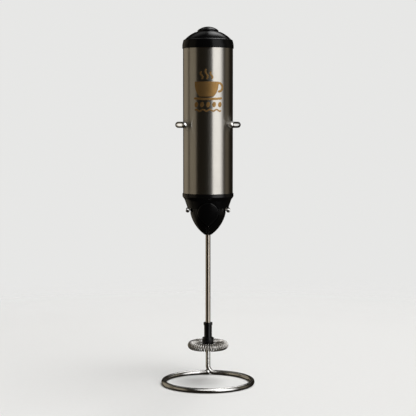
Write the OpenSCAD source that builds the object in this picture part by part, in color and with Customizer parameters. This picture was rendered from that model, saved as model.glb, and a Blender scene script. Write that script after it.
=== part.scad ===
// Battery milk frother hanging in its wire stand.
// The origin is on the floor in the middle of the stand's base ring, +Z is up and the front is -Y.

/* [Stand] */
// Thickness of the wire that makes the base ring and the post
stand_wire_d = 3.2; // [2.8:0.1:3.6]
// Radius of the base ring, to the middle of the wire
ring_r = 29.4; // [27:0.1:32]
// Radius of the bend from the ring up into the post
bend_r = 4.5; // [4:0.1:6]
// Height of the top of the post
post_top = 178; // [176:1:184]
// Thickness of the upper clip's wire
upper_wire_d = 4.1; // [3.8:0.1:4.4]
// Radius of the upper clip, to the middle of its wire
upper_r = 19.65; // [19.5:0.05:20.5]
// Height of the upper clip
upper_z = 172; // [165:1:173]
// How far each end of the upper clip wraps round to the front, in degrees
upper_wrap = 39; // [30:1:45]
// Thickness of the lower clip's wire
lower_wire_d = 2.75; // [2.5:0.05:3]
// Half of the distance between the lower clip's arms, to the middle of the wire
lower_r = 13.43; // [13.3:0.01:13.5]
// Height of the lower clip
lower_z = 115.4; // [112:0.1:118]
// How far the lower clip's arms reach in front of the frother's axis
lower_reach = 5; // [3:0.5:8]
// How deep the clips are melted into the post where they are welded
weld_sink = 0.3; // [0.2:0.05:0.4]

/* [Handle] */
// Outside diameter of the steel tube
tube_d = 33; // [33:0.1:33.4]
// Wall of the steel tube
tube_wall = 0.5; // [0.4:0.05:0.5]
// Length of the steel tube
tube_len = 95.4; // [95:0.1:97]
// Height of the upright band at the foot of the cap
cap_band_h = 5; // [4.5:0.1:5.5]
// Height of the cap's dome over the band
cap_dome_h = 5.8; // [5.5:0.1:6.5]
// Diameter of the power button
button_d = 14; // [13:0.1:14.5]
// How far the power button goes down
button_travel = 1.6; // [1:0.1:1.8]

/* [Nose] */
// Radius of the ledge that rests on the lower clip
ledge_r = 13.6; // [13.5:0.05:13.8]
// Radius of the nose just under the ledge
waist_r = 11.7; // [11.4:0.05:11.75]
// Height of the nose under the ledge
nose_drop = 17.9; // [17:0.1:18.2]
// Height of the nose over the ledge, up to the tube
nose_rise = 9.8; // [9.6:0.1:10]
// Radius of the round top of the release tab
tab_r = 7.1; // [6.5:0.1:7.3]
// How far the release tab goes in
tab_travel = 1.2; // [0.8:0.1:1.3]

/* [Batteries] */
// Diameter of one cell
cell_d = 14.5; // [14.2:0.1:14.5]
// Length of one cell without its stud
cell_len = 49; // [48.5:0.1:49]
// Height of the stud at the cell's positive end
stud_h = 1.5; // [1.2:0.1:1.5]
// Length of a contact spring when the cell is in
contact_spring_h = 4; // [3.5:0.1:4]

/* [Motor] */
// Diameter of the motor can
motor_d = 23.8; // [23:0.1:23.8]
// Width of the motor can over its flats
motor_flat = 18.3; // [18:0.1:18.3]
// Diameter of the motor shaft
motor_shaft_d = 2; // [1.8:0.1:2.2]
// Running clearance of a shaft in its bearing, on the radius
bearing_gap = 0.04; // [0.02:0.01:0.08]

/* [Whisk] */
// Diameter of the whisk shaft
whisk_shaft_d = 3.3; // [3:0.1:3.5]
// Height of the lower end of the bare shaft, where the hub starts
hub_top = 40.1; // [38:0.1:42]
// Diameter of the hub
hub_d = 5.2; // [5:0.1:6]
// Height of the whisk coil
coil_z = 24.7; // [23:0.1:26]
// Radius of the hoop that carries the coil
hoop_r = 10.95; // [10.5:0.05:11]
// Outside diameter of the coil, across its wire
coil_d = 5.4; // [5:0.1:5.6]
// Thickness of the coil's wire
coil_wire_d = 0.7; // [0.6:0.05:0.8]
// Number of turns in each half of the coil
half_turns = 24; // [20:1:25]

/* [Hidden] */
$fn = 96;

// Play between parts that slide past each other
slide_gap = 0.3;
// Play between parts that are fitted together and stay so
fit_gap = 0.05;
// Overcut, so that a cut goes right through
over = 1;

// Stand: the wire leaves the ring at bend_at degrees and comes up in the plane x = 0.
bend_at = atan2(ring_r, bend_r);
post_ring_r = norm([ring_r, bend_r]);
ring_y = -(post_ring_r - ring_r) / 2;
post_y = ring_y + post_ring_r;
clip_back_y = post_y - stand_wire_d / 2 + weld_sink;
axis_y = clip_back_y - upper_r - upper_wire_d / 2;
lower_y = clip_back_y - lower_r - lower_wire_d / 2;
// Where the ring's other end stops, just short of the foot of the post
butt_at = 92;
arm_chamfer = 0.4;
// How far the bend runs on into the ring and the post, in degrees
bend_lap = 0.3;

// Heights of the nose, the tube and the cap
ledge_z = lower_z + lower_wire_d / 2 + 0.1;
tip_z = ledge_z - nose_drop;
tube_z = ledge_z + nose_rise;
tube_top = tube_z + tube_len;
tube_r = tube_d / 2;
bore_r = tube_r - tube_wall;
rim_r = tube_r + 0.45;
band_top = tube_top + cap_band_h;
dome_top = band_top + cap_dome_h;

// The nose's lower half is an arc that swings out from the tip to the waist.
belly_r = 24.47;
belly_x = -12.1;
belly_z = ledge_z + 1.95;
spigot_h = 6;
spigot_r = bore_r - slide_gap;
skirt_r = 14.1;
seat_z = ledge_z + 5.6;

// Motor, standing on its plate
plate_z = seat_z;
plate_h = 1.5;
can_z = plate_z + plate_h;
can_h = 24;
end_cap_z = can_z + can_h;
end_cap_h = 3.5;
boss_r = 3;
motor_screw_x = 8.2;
motor_pocket_d = motor_d + 0.2;

// Battery bay
bay_z = end_cap_z + end_cap_h + 5;
strip_t = 0.4;
cell_x = cell_d / 2 + 0.15;
bay_top = bay_z + strip_t + contact_spring_h + cell_len + stud_h + strip_t + 0.1;
carrier_top = bay_top + 1.6;
contact_w = 9;
strip_w = 2.2;
strip_x = 1.7;
strip_y = spigot_r - 0.8;
terminal_z = end_cap_z + end_cap_h;

// Push switch
switch_w = 8.5;
switch_z = carrier_top;
switch_h = 9.5;
switch_wall = 0.8;
plunger_w = 3.4;
plunger_top = switch_z + switch_h + 5.4;

// Power button
button_r = button_d / 2;
button_flange_z = dome_top - 2.1;
button_top = dome_top + 3.6;

// Rotor
motor_shaft_r = motor_shaft_d / 2;
whisk_shaft_r = whisk_shaft_d / 2;
coupling_z = tip_z + 8;
coupling_h = 12;
motor_shaft_z = coupling_z + 7;
motor_shaft_top = terminal_z;
shaft_top = motor_shaft_z - 0.4;
hub_bottom = coil_z - 1.2;
foot_top = coil_z + 5.3;
spoke_d = 1;
spoke_gap = 3.2;

function arc(cx, cy, r, a0, a1, n) =
    [for (i = [0 : n]) let (a = a0 + (a1 - a0) * i / n) [cx + r * cos(a), cy + r * sin(a)]];

// Points on a bowed line from p to q that stands sag to the right of the straight one
function bow(p, q, sag, n) =
    let (d = q - p, side = [d[1], -d[0]] / norm(d))
    [for (i = [0 : n]) let (t = i / n) p + d * t + side * sag * 4 * t * (1 - t)];

// Points of a closed wire section round a point, from two unit vectors across the wire
function wire_section(p, u, v, r, sides) =
    [for (k = [0 : sides - 1]) let (a = 360 * k / sides) p + r * cos(a) * u + r * sin(a) * v];

// Faces of a swept wire of n sections with flat ends
function wire_faces(n, sides) = concat(
    [[for (k = [0 : sides - 1]) k]],
    [for (i = [0 : n - 2], k = [0 : sides - 1])
        let (a = i * sides + k, b = i * sides + (k + 1) % sides)
        [b, a, a + sides, b + sides]],
    [[for (k = [sides - 1 : -1 : 0]) (n - 1) * sides + k]]);

module on_axis() {
    translate([0, axis_y, 0]) children();
}

module at_height(z) {
    translate([0, 0, z]) children();
}

module disc(r, z, h) {
    at_height(z) cylinder(r = r, h = h);
}

module ring(r_out, r_in, z, h) {
    difference() {
        disc(r_out, z, h);
        disc(r_in, z - over, h + 2 * over);
    }
}

module block(x, y, z) {
    translate([x[0], y[0], z[0]]) cube([x[1] - x[0], y[1] - y[0], z[1] - z[0]]);
}

// A compression spring standing on z, with a given radius at its foot and at its head
module coil_spring(z, h, r_foot, r_head, turns, wire) {
    sides = 6;
    steps = 14;
    n = turns * steps + 1;
    rise = h - wire;
    points = [for (i = [0 : n - 1])
        let (t = i / (n - 1), a = 360 * i / steps, r = r_foot + (r_head - r_foot) * t)
        each wire_section([r * cos(a), r * sin(a), z + wire / 2 + rise * t],
            [cos(a), sin(a), 0], [0, 0, 1], wire / 2, sides)];
    polyhedron(points, wire_faces(n, sides), convexity = 6);
}

// ---------------------------------------------------------------- stand

module stand_wire() {
    color("silver") {
        translate([0, ring_y, stand_wire_d / 2]) {
            rotate(butt_at)
                rotate_extrude(angle = 360 + bend_at - butt_at)
                    translate([ring_r, 0]) circle(d = stand_wire_d);
            rotate(bend_at) translate([ring_r, 0, bend_r])
                rotate([90, 0, 90]) rotate(-90 - bend_lap)
                    rotate_extrude(angle = 90 + 2 * bend_lap)
                        translate([bend_r, 0]) circle(d = stand_wire_d - 0.02);
        }
        translate([0, post_y, stand_wire_d / 2 + bend_r])
            cylinder(d = stand_wire_d, h = post_top - bend_r - stand_wire_d);
        translate([0, post_y, post_top - stand_wire_d / 2]) sphere(d = stand_wire_d - 0.02);
    }
}

// Bead of weld that closes the ring at the foot of the post
module foot_weld() {
    bead_r = 1.95;
    color("silver") translate([-0.3, post_y - 0.35, bead_r]) sphere(r = bead_r);
}

module upper_clip() {
    color("silver") on_axis() at_height(upper_z) {
        rotate(-upper_wrap)
            rotate_extrude(angle = 180 + 2 * upper_wrap)
                translate([upper_r, 0]) circle(d = upper_wire_d);
        for (a = [-upper_wrap, 180 + upper_wrap])
            rotate(a) translate([upper_r, 0, 0]) sphere(d = upper_wire_d - 0.02);
    }
}

module lower_clip() {
    arm = lower_y - axis_y + lower_reach - arm_chamfer;
    color("silver") translate([0, lower_y, lower_z]) {
        rotate_extrude(angle = 180) translate([lower_r, 0]) circle(d = lower_wire_d);
        for (side = [-1, 1]) translate([side * lower_r, 0, 0]) rotate([90, 0, 0]) {
            cylinder(d = lower_wire_d, h = arm);
            at_height(arm)
                cylinder(d1 = lower_wire_d, d2 = lower_wire_d - 2 * arm_chamfer, h = arm_chamfer);
        }
    }
}

// ---------------------------------------------------------------- sleeve: tube, cap and button

module handle_tube() {
    color("lightgray") on_axis() ring(tube_r, bore_r, tube_z, tube_len);
}

// Outline of the cap: a band that draws in a little, a round shoulder, then a low dome
module cap_profile() {
    shoulder = [rim_r - 1.5, band_top + 0.75];
    lip = [button_r + 1.2, dome_top];
    inner_shoulder = shoulder - [1.3, 1.6];
    inner_lip = lip - [0.2, 1.7];
    foot_z = tube_top - spigot_h;
    seat = tube_top + 0.02;
    difference() {
        polygon(concat(
            [[rim_r, seat], [rim_r, tube_top + 2.4]],
            bow([rim_r - 0.6, band_top], shoulder, 0.25, 3),
            bow(shoulder, lip, 0.5, 8),
            [[0, dome_top], [0, inner_lip[1]]],
            bow(inner_lip, inner_shoulder, -0.5, 8),
            [[inner_shoulder[0], foot_z], [bore_r - fit_gap, foot_z], [bore_r - fit_gap, seat]]));
        translate([-over, foot_z - over])
            square([button_r + 0.15 + over, dome_top - foot_z + 2 * over]);
    }
}

module top_cap() {
    color([0.06, 0.06, 0.06]) on_axis() rotate_extrude() cap_profile();
}

module power_button() {
    crown_r = 11;
    crown = arc(0, button_top - crown_r, crown_r, 90, 90 - asin((button_r - 0.4) / crown_r), 8);
    shoulder_z = crown[len(crown) - 1][1] - 0.5;
    flange_r = button_r + 1.4;
    boss_r = 2.6;
    color([0.05, 0.05, 0.05]) on_axis() rotate_extrude() polygon(concat(crown,
        [[button_r, shoulder_z], [button_r, button_flange_z],
        [flange_r, button_flange_z], [flange_r, button_flange_z - 1],
        [boss_r, button_flange_z - 1], [boss_r, plunger_top + fit_gap],
        [0, plunger_top + fit_gap]]));
}

// ---------------------------------------------------------------- chassis: nose and carrier

module nose_outside() {
    tip_angle = asin((tip_z - belly_z) / belly_r);
    waist_angle = -acos((waist_r - belly_x) / belly_r);
    polygon(concat([[0, tip_z]],
        arc(belly_x, belly_z, belly_r, tip_angle, waist_angle, 14),
        [[waist_r, ledge_z], [ledge_r, ledge_z],
        [ledge_r + 1.95, ledge_z + 5.8], [rim_r - 0.2, ledge_z + 7.3], [rim_r, ledge_z + 7.8],
        [rim_r, tube_z - 0.02], [spigot_r, tube_z - 0.02], [spigot_r, tube_z + spigot_h],
        [0, tube_z + spigot_h]]));
}

module nose_inside() {
    bore = skirt_r + fit_gap;
    polygon([[0, tip_z + 4.5], [4, tip_z + 4.5], [9.6, tip_z + 14], [10, ledge_z],
        [12.2, ledge_z + 3.6], [12.2, seat_z], [bore, seat_z],
        [bore, tube_z + spigot_h + over], [0, tube_z + spigot_h + over]]);
}

// Teardrop outline of the release tab, seen from the front
module tab_outline(grow) {
    round_z = ledge_z - 2.7;
    point_z = tip_z + 7.2;
    hull() {
        translate([0, round_z]) circle(r = tab_r + grow);
        translate([0, point_z]) circle(r = 1.2 + grow, $fn = 32);
    }
}

module tab_prism(grow, y0, y1) {
    translate([0, y1, 0]) rotate([90, 0, 0]) linear_extrude(y1 - y0) tab_outline(grow);
}

tongue_w = 6;
tongue_y = [-13.8, -12.5];
nib_z = tube_z + 2.6;

module tongue_room() {
    room = 0.35;
    block([-tongue_w / 2 - room, tongue_w / 2 + room],
        [-bore_r - over, tongue_y[1] + tab_travel + room], [ledge_z + 1, tube_z + spigot_h + over]);
}

module nose_cone() {
    color([0.05, 0.05, 0.05]) on_axis() difference() {
        rotate_extrude() nose_outside();
        rotate_extrude() nose_inside();
        disc(whisk_shaft_r + 0.1, tip_z - over, 2 * over + 4.5);
        disc(2.8, tip_z + 1.8, 4);
        tab_prism(0.35, -rim_r - over, -4.6);
        intersection() {
            tongue_room();
            union() {
                block([-rim_r, rim_r], [-rim_r, 0], [tube_z + 1.2, tube_z + 10]);
                block([-rim_r, rim_r], [tongue_y[0] - 0.2, 0], [ledge_z + 1, seat_z + over]);
            }
        }
        for (side = [-1, 1]) nose_screw_hole(side);
    }
}

module release_tab() {
    face_z = ledge_z + 14.1;
    face_r = 50.5;
    face = arc(-35.4, face_z, face_r, asin((tip_z + 4 - face_z) / face_r),
        asin((ledge_z + 6 - face_z) / face_r), 12);
    shell = 2.2;
    color([0.08, 0.08, 0.08]) on_axis() {
        intersection() {
            tab_prism(0, -rim_r, -4);
            rotate_extrude() polygon(concat(face,
                [for (i = [len(face) - 1 : -1 : 0]) face[i] - [shell, 0]]));
        }
        block([-tongue_w / 2, tongue_w / 2], tongue_y, [ledge_z + 2.2, nib_z + 1.6]);
        block([-tongue_w / 2 + 1, tongue_w / 2 - 1], [-bore_r + 0.15, tongue_y[0] + 0.1],
            [nib_z, nib_z + 1.6]);
    }
}

// Self-tapping screws through the nose's spigot into the carrier's skirt, under the tube
nose_screw_z = tube_z + 3.2;

module nose_screw_hole(side) {
    translate([side * (spigot_r + over), 0, nose_screw_z]) rotate([0, -side * 90, 0]) {
        cylinder(r = 1.7, h = over + 0.9);
        cylinder(r = 0.9, h = over + 3);
    }
}

module nose_screws() {
    color("gray") on_axis() for (side = [-1, 1])
        translate([side * spigot_r, 0, nose_screw_z]) rotate([0, -side * 90, 0]) difference() {
            union() {
                cylinder(r = 1.6, h = 0.85);
                cylinder(r = 0.85, h = 2.9);
            }
            at_height(-over) cylinder(r = 0.7, h = over + 0.4, $fn = 6);
        }
}

module cell_room() {
    for (side = [-1, 1]) translate([side * cell_x, 0, 0])
        disc(cell_d / 2 + 0.12, bay_z, bay_top - bay_z);
    block([-cell_x, cell_x], [-cell_d / 2 - 9, 0], [bay_z, bay_top]);
}

// Grooves down the back of the carrier for the two metal strips
module strip_room() {
    room = 0.1;
    for (side = [-1, 1]) {
        x = side * strip_x;
        w = strip_w / 2 + room;
        block([x - w, x + w], [strip_y - room, spigot_r + over], [terminal_z + 0.5, carrier_top + over]);
        block([x - w, x + w], [-1, strip_y + 1], [terminal_z + 1, terminal_z + 3.4]);
    }
    block([strip_x - strip_w / 2 - room, cell_x], [-1, spigot_r + over],
        [bay_top - strip_t - 0.2, bay_top]);
}

module battery_carrier() {
    color([0.12, 0.12, 0.13]) on_axis() difference() {
        union() {
            disc(skirt_r, can_z + fit_gap, tube_z + spigot_h - can_z);
            disc(spigot_r, tube_z + spigot_h + fit_gap, carrier_top - tube_z - spigot_h - fit_gap);
        }
        intersection() {
            disc(motor_pocket_d / 2, can_z - over, terminal_z + 3.5 - can_z + over);
            block([-tube_r, tube_r], [-motor_flat / 2 - 0.1, motor_flat / 2 + 0.1],
                [can_z - over, terminal_z + 3.5]);
        }
        tongue_room();
        cell_room();
        block([-bore_r, bore_r], [-bore_r - over, -3.2], [bay_z + 1, bay_top - 1]);
        strip_room();
        for (side = [-1, 1]) nose_screw_hole(side);
        // Slot for the riser from the left-hand cell's contact to the switch
        block([-6.7, -4.7], [-0.3, 0.3], [bay_top - over, carrier_top + over]);
    }
}

module shaft_bush() {
    color("peru") on_axis()
        ring(2.8 - fit_gap, whisk_shaft_r + bearing_gap, tip_z + 1.8 + fit_gap, 2.6);
}

// ---------------------------------------------------------------- batteries and contacts

module cell(foot_z, up) {
    body_r = cell_d / 2;
    groove = 0.3;
    at_height(foot_z) mirror([0, 0, up ? 0 : 1]) at_height(up ? 0 : -cell_len) {
        cylinder(r = body_r - groove, h = cell_len);
        disc(body_r, 0.6, cell_len - 1.6);
        disc(2.75, cell_len - fit_gap, stud_h + fit_gap);
    }
}

module battery_left() {
    color([0.75, 0.55, 0.2]) on_axis() translate([-cell_x, 0, 0])
        cell(bay_z + strip_t + contact_spring_h, true);
}

module battery_right() {
    color([0.2, 0.2, 0.22]) on_axis() translate([cell_x, 0, 0])
        cell(bay_z + strip_t + stud_h, false);
}

module contact_plate(side, z) {
    block([side * cell_x - contact_w / 2, side * cell_x + contact_w / 2],
        [-contact_w / 2, contact_w / 2], [z, z + strip_t]);
}

module bridge_contact() {
    color("gainsboro") on_axis() {
        for (side = [-1, 1]) contact_plate(side, bay_z);
        block([-cell_x, cell_x], [-3, -0.5], [bay_z, bay_z + strip_t]);
    }
}

module bridge_spring() {
    color("gainsboro") on_axis() translate([-cell_x, 0, 0])
        coil_spring(bay_z + strip_t + 0.03, contact_spring_h - 0.05, 4, 2.6, 3, 0.6);
}

module negative_spring() {
    color("gainsboro") on_axis() translate([cell_x, 0, 0])
        coil_spring(bay_z + strip_t + stud_h + cell_len + 0.03, contact_spring_h - 0.05, 2.6, 4, 3, 0.6);
}

module switch_contact() {
    color("gainsboro") on_axis() {
        contact_plate(-1, bay_top - 0.08 - strip_t);
        block([-6.5, -4.9], [-0.2, 0.2], [bay_top - 0.08 - strip_t, switch_z + 4]);
    }
}

module strip_down(side, top) {
    x = side * strip_x;
    w = strip_w / 2;
    block([x - w, x + w], [strip_y, strip_y + strip_t], [terminal_z + 2.4, top]);
    block([x - w, x + w], [0, strip_y + strip_t], [terminal_z + 2.4, terminal_z + 2.4 + strip_t]);
    block([x - w, x + w], [0, strip_t], [terminal_z + fit_gap, terminal_z + 2.8]);
}

module negative_contact() {
    z = bay_top - 0.08 - strip_t;
    color("gainsboro") on_axis() {
        contact_plate(1, z);
        block([strip_x - strip_w / 2, cell_x], [0, 3], [z, z + strip_t]);
        block([strip_x - strip_w / 2, strip_x + strip_w / 2], [2, strip_y + strip_t], [z, z + strip_t]);
        strip_down(1, z + strip_t);
    }
}

module motor_strip() {
    x = -strip_x;
    w = strip_w / 2;
    top = switch_z + 2.4;
    color("gainsboro") on_axis() {
        strip_down(-1, top);
        block([x - w, x + w], [switch_w / 2 + 1.1, strip_y + strip_t], [top - strip_t, top]);
    }
}

// ---------------------------------------------------------------- push switch

module switch_body() {
    in_w = switch_w - 2 * switch_wall;
    color([0.15, 0.25, 0.45]) on_axis() difference() {
        block([-switch_w / 2, switch_w / 2], [-switch_w / 2, switch_w / 2],
            [switch_z + 0.02, switch_z + switch_h]);
        block([-in_w / 2, in_w / 2], [-in_w / 2, in_w / 2],
            [switch_z + switch_wall, switch_z + switch_h - switch_wall]);
        block([-plunger_w / 2 - 0.15, plunger_w / 2 + 0.15], [-plunger_w / 2 - 0.15, plunger_w / 2 + 0.15],
            [switch_z + switch_h - over - switch_wall, switch_z + switch_h + over]);
    }
}

plunger_foot = switch_z + 5.2;

module switch_plunger() {
    foot_w = 5.6;
    color([0.85, 0.85, 0.8]) on_axis() {
        block([-plunger_w / 2, plunger_w / 2], [-plunger_w / 2, plunger_w / 2],
            [plunger_foot, plunger_top]);
        block([-foot_w / 2, foot_w / 2], [-foot_w / 2, foot_w / 2], [plunger_foot, plunger_foot + 1.6]);
    }
}

module switch_spring() {
    color("silver") on_axis()
        coil_spring(switch_z + switch_wall + 0.03, plunger_foot - switch_z - switch_wall - 0.06, 1.7, 1.7, 4, 0.4);
}

module switch_pins() {
    color("gainsboro") on_axis() {
        block([-switch_w / 2 - 0.6, -switch_w / 2 - 0.02], [-0.8, 0.8], [switch_z + 1.4, switch_z + 4]);
        block([-0.8 - strip_x, 0.8 - strip_x], [switch_w / 2 + 0.02, switch_w / 2 + 1],
            [switch_z + 1.9, switch_z + 2.5]);
    }
}

// ---------------------------------------------------------------- motor

// Round outline with two flats
module motor_outline(d, flat) {
    intersection() {
        circle(d = d);
        square([d + over, flat], center = true);
    }
}

module motor_plate() {
    color([0.2, 0.2, 0.2]) on_axis() difference() {
        disc(skirt_r - 0.05, plate_z + 0.02, plate_h - 0.02);
        disc(boss_r + 0.1, plate_z - over, plate_h + 2 * over);
        for (side = [-1, 1]) translate([side * motor_screw_x, 0, 0]) {
            disc(1.15, plate_z - over, plate_h + 2 * over);
            disc(2.2, plate_z - over, over + 0.8);
        }
        block([-tongue_w / 2 - 0.35, tongue_w / 2 + 0.35],
            [-rim_r, tongue_y[1] + tab_travel + 0.35], [plate_z - over, plate_z + plate_h + over]);
    }
}

module motor_can() {
    wall = 0.9;
    color("silver") on_axis() difference() {
        union() {
            at_height(can_z + 0.02) linear_extrude(can_h - 0.02) motor_outline(motor_d, motor_flat);
            disc(boss_r, can_z - 1.4, 2);
        }
        at_height(can_z + wall) linear_extrude(can_h)
            motor_outline(motor_d - 2 * wall, motor_flat - 2 * wall);
        disc(2, can_z - 3, 6);
        for (side = [-1, 1]) translate([side * motor_screw_x, 0, 0]) disc(0.75, can_z - over, 3);
    }
}

module motor_magnets() {
    color([0.25, 0.25, 0.27]) on_axis() at_height(can_z + 3) linear_extrude(18) intersection() {
        difference() {
            circle(r = motor_d / 2 - 1);
            circle(r = 8.3);
        }
        union() for (side = [-1, 1]) translate([side * 10, 0]) square([12, 13], center = true);
    }
}

module motor_end_cap() {
    color([0.9, 0.9, 0.88]) on_axis() difference() {
        at_height(end_cap_z + 0.02) linear_extrude(end_cap_h - 0.02) motor_outline(motor_d, motor_flat);
        disc(2, end_cap_z - over, end_cap_h + 2 * over);
        disc(4, end_cap_z - over, over + 1.2);
        for (side = [-1, 1])
            block([side * 5.5 - 0.3, side * 5.5 + 0.3], [-1.1, 1.1],
                [end_cap_z - over, end_cap_z + end_cap_h + over]);
    }
}

module motor_bushings() {
    color("peru") on_axis() {
        ring(1.98, motor_shaft_r + bearing_gap, can_z - 1.3, 2.6);
        ring(1.98, motor_shaft_r + bearing_gap, end_cap_z + 0.3, 3);
    }
}

// Two leaf brushes that come in through the end cap and stand beside the commutator
module motor_brushes() {
    reach = 2.75;
    color("goldenrod") on_axis() for (side = [-1, 1]) {
        x = side * 5.5;
        foot_z = end_cap_z - 3;
        tip_x = side * reach;
        block([x - 0.2, x + 0.2], [-1, 1], [foot_z, terminal_z + 1.9]);
        block([min(x, tip_x), max(x, tip_x)], [-1, 1], [foot_z, foot_z + 0.4]);
        block([min(x, side * strip_x), max(x, side * strip_x)], [-1, -0.05],
            [terminal_z + 1.5, terminal_z + 1.9]);
    }
}

module motor_screws() {
    color("gray") on_axis() for (side = [-1, 1]) translate([side * motor_screw_x, 0, 0])
        difference() {
            union() {
                disc(0.73, plate_z + 0.5, 2.8);
                disc(2, plate_z - 0.55, 1.3);
            }
            disc(0.9, plate_z - over, over - 0.05, $fn = 6);
        }
}

// ---------------------------------------------------------------- rotor and whisk

module motor_shaft() {
    color("silver") on_axis() disc(motor_shaft_r, motor_shaft_z, motor_shaft_top - motor_shaft_z);
}

core_r = 7.7;
core_z = can_z + 5;
core_h = 13;

module rotor_core() {
    color("dimgray") on_axis() difference() {
        disc(core_r, core_z, core_h);
        disc(motor_shaft_r + 0.01, core_z - over, core_h + 2 * over);
        for (a = [30, 150, 270]) rotate(a) {
            translate([4.9, 0, core_z - over]) cylinder(r = 2.1, h = core_h + 2 * over);
            block([4.9, core_r + over], [-0.6, 0.6], [core_z - over, core_z + core_h + over]);
        }
    }
}

module rotor_windings() {
    color("chocolate") on_axis() for (a = [30, 150, 270]) rotate(a)
        translate([4.9, 0, core_z - 1.2]) cylinder(r = 2, h = core_h + 2.4);
}

module commutator() {
    z = core_z + core_h + 1.3;
    color("peru") on_axis() difference() {
        disc(2.65, z, end_cap_z - z - 0.4);
        disc(motor_shaft_r + 0.01, z - over, 10);
        for (a = [90, 210, 330]) rotate(a) block([1.6, 4], [-0.15, 0.15], [z - over, z + 10]);
    }
}

module shaft_coupling() {
    color([0.9, 0.9, 0.85]) on_axis() difference() {
        disc(3.2, coupling_z, coupling_h);
        disc(whisk_shaft_r + 0.01, coupling_z - over, motor_shaft_z - coupling_z + over);
        disc(motor_shaft_r + 0.01, coupling_z, coupling_h + over);
    }
}

module whisk_shaft() {
    color("silver") on_axis() disc(whisk_shaft_r, hub_top - 8, shaft_top - hub_top + 8);
}

module whisk_hub() {
    collar_r = hub_d / 2 + 0.35;
    collar_h = 1.9;
    foot_r = hub_d / 2 + 1.2;
    color([0.05, 0.05, 0.05]) on_axis() difference() {
        union() {
            disc(hub_d / 2, hub_bottom, hub_top - collar_h - 0.3 - hub_bottom);
            disc(hub_d / 2 - 0.3, hub_top - collar_h - 1, 2);
            disc(collar_r, hub_top - collar_h, collar_h);
            disc(foot_r, hub_bottom, foot_top - hub_bottom);
        }
        disc(whisk_shaft_r + 0.01, hub_top - 8.02, 9);
        at_height(coil_z) rotate([0, 90, 0])
            cylinder(d = spoke_d + 0.02, h = 4 * hub_d, center = true);
    }
}

module whisk_hoop() {
    color("silver") on_axis() at_height(coil_z) {
        rotate_extrude() translate([hoop_r, 0]) circle(d = spoke_d);
        rotate([0, 90, 0]) cylinder(d = spoke_d - 0.02, h = 2 * hoop_r, center = true);
    }
}

// One half of the coil, wound round the hoop between the two spokes
module half_coil() {
    sides = 5;
    steps = 11;
    n = half_turns * steps + 1;
    turn_r = (coil_d - coil_wire_d) / 2;
    points = [for (i = [0 : n - 1])
        let (around = spoke_gap + (180 - 2 * spoke_gap) * i / (n - 1),
            turn = 360 * i / steps,
            out = [cos(around), sin(around), 0],
            across = out * cos(turn) + [0, 0, sin(turn)],
            along = [-sin(around), cos(around), 0])
        each wire_section(out * hoop_r + across * turn_r, across, along, coil_wire_d / 2, sides)];
    polyhedron(points, wire_faces(n, sides), convexity = 20);
}

module whisk_coil() {
    color("silver") on_axis() at_height(coil_z) for (a = [0, 180]) rotate(a) half_coil();
}

stand_wire();
foot_weld();
upper_clip();
lower_clip();
handle_tube();
top_cap();
power_button();
nose_cone();
release_tab();
battery_carrier();
battery_left();
battery_right();
bridge_contact();
bridge_spring();
switch_contact();
negative_contact();
negative_spring();
motor_strip();
switch_body();
switch_plunger();
switch_spring();
switch_pins();
motor_plate();
motor_can();
motor_magnets();
motor_end_cap();
motor_bushings();
motor_brushes();
motor_screws();
nose_screws();
shaft_bush();
motor_shaft();
rotor_core();
rotor_windings();
commutator();
shaft_coupling();
whisk_shaft();
whisk_hub();
whisk_hoop();
whisk_coil();
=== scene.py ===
"""Battery milk frother hanging in a wire stand.

Builds the shown surfaces, their finishes and the stage round the CAD frame. Shapes are worked
out in millimetres as whole arrays, in the frame's own axes: +Z up, the front towards -Y.
"""
import math

import bpy
import numpy as np
from bpy.props import FloatProperty, FloatVectorProperty, IntProperty, PointerProperty
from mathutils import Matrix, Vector


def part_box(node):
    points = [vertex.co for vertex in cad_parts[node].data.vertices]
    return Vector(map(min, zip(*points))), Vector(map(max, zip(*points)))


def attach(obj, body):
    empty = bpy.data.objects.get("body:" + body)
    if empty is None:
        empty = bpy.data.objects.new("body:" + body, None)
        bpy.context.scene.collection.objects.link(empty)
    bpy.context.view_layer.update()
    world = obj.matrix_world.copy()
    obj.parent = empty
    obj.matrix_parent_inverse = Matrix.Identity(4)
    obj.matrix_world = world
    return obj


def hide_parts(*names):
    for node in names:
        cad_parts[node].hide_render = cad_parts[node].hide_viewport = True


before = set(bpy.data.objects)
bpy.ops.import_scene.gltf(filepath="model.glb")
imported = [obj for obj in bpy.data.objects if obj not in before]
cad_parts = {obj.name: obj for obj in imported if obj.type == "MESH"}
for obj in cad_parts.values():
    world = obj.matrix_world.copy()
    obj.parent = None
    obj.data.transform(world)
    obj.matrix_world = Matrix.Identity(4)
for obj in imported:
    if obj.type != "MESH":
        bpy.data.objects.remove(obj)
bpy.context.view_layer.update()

bl_info = {
    "name": "Milk frother on its stand",
    "version": (1, 0, 0),
    "blender": (4, 5, 0),
    "location": "3D View > Sidebar > Frother",
    "description": "Surfaces, finishes and stage of a battery milk frother in a wire stand",
    "category": "Add Mesh",
}

MM = 0.001
TAU = 2 * math.pi
UP = np.array([0, 0, 1])


# ---------------------------------------------------------------- places taken from the frame

def node_box(node):
    """Lowest and highest corner of a CAD node, in millimetres."""
    low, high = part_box(node)
    return np.array(low) / MM, np.array(high) / MM


def node_axis(node):
    """Middle of a CAD node in plan, in millimetres."""
    low, high = node_box(node)
    return (low[:2] + high[:2]) / 2


def node_radius(node):
    """Half of a CAD node's width, in millimetres."""
    low, high = node_box(node)
    return (high[0] - low[0]) / 2


def node_heights(node):
    """Lowest and highest point of a CAD node, in millimetres."""
    low, high = node_box(node)
    return low[2], high[2]


def sizes(group):
    """The scene's own settings of one group."""
    return getattr(bpy.context.scene, "frother_" + group)


# ---------------------------------------------------------------- lines

def level(a):
    """Level unit vectors (cos a, sin a, 0)."""
    return np.stack([np.cos(a), np.sin(a), 0 * a], -1)


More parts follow.
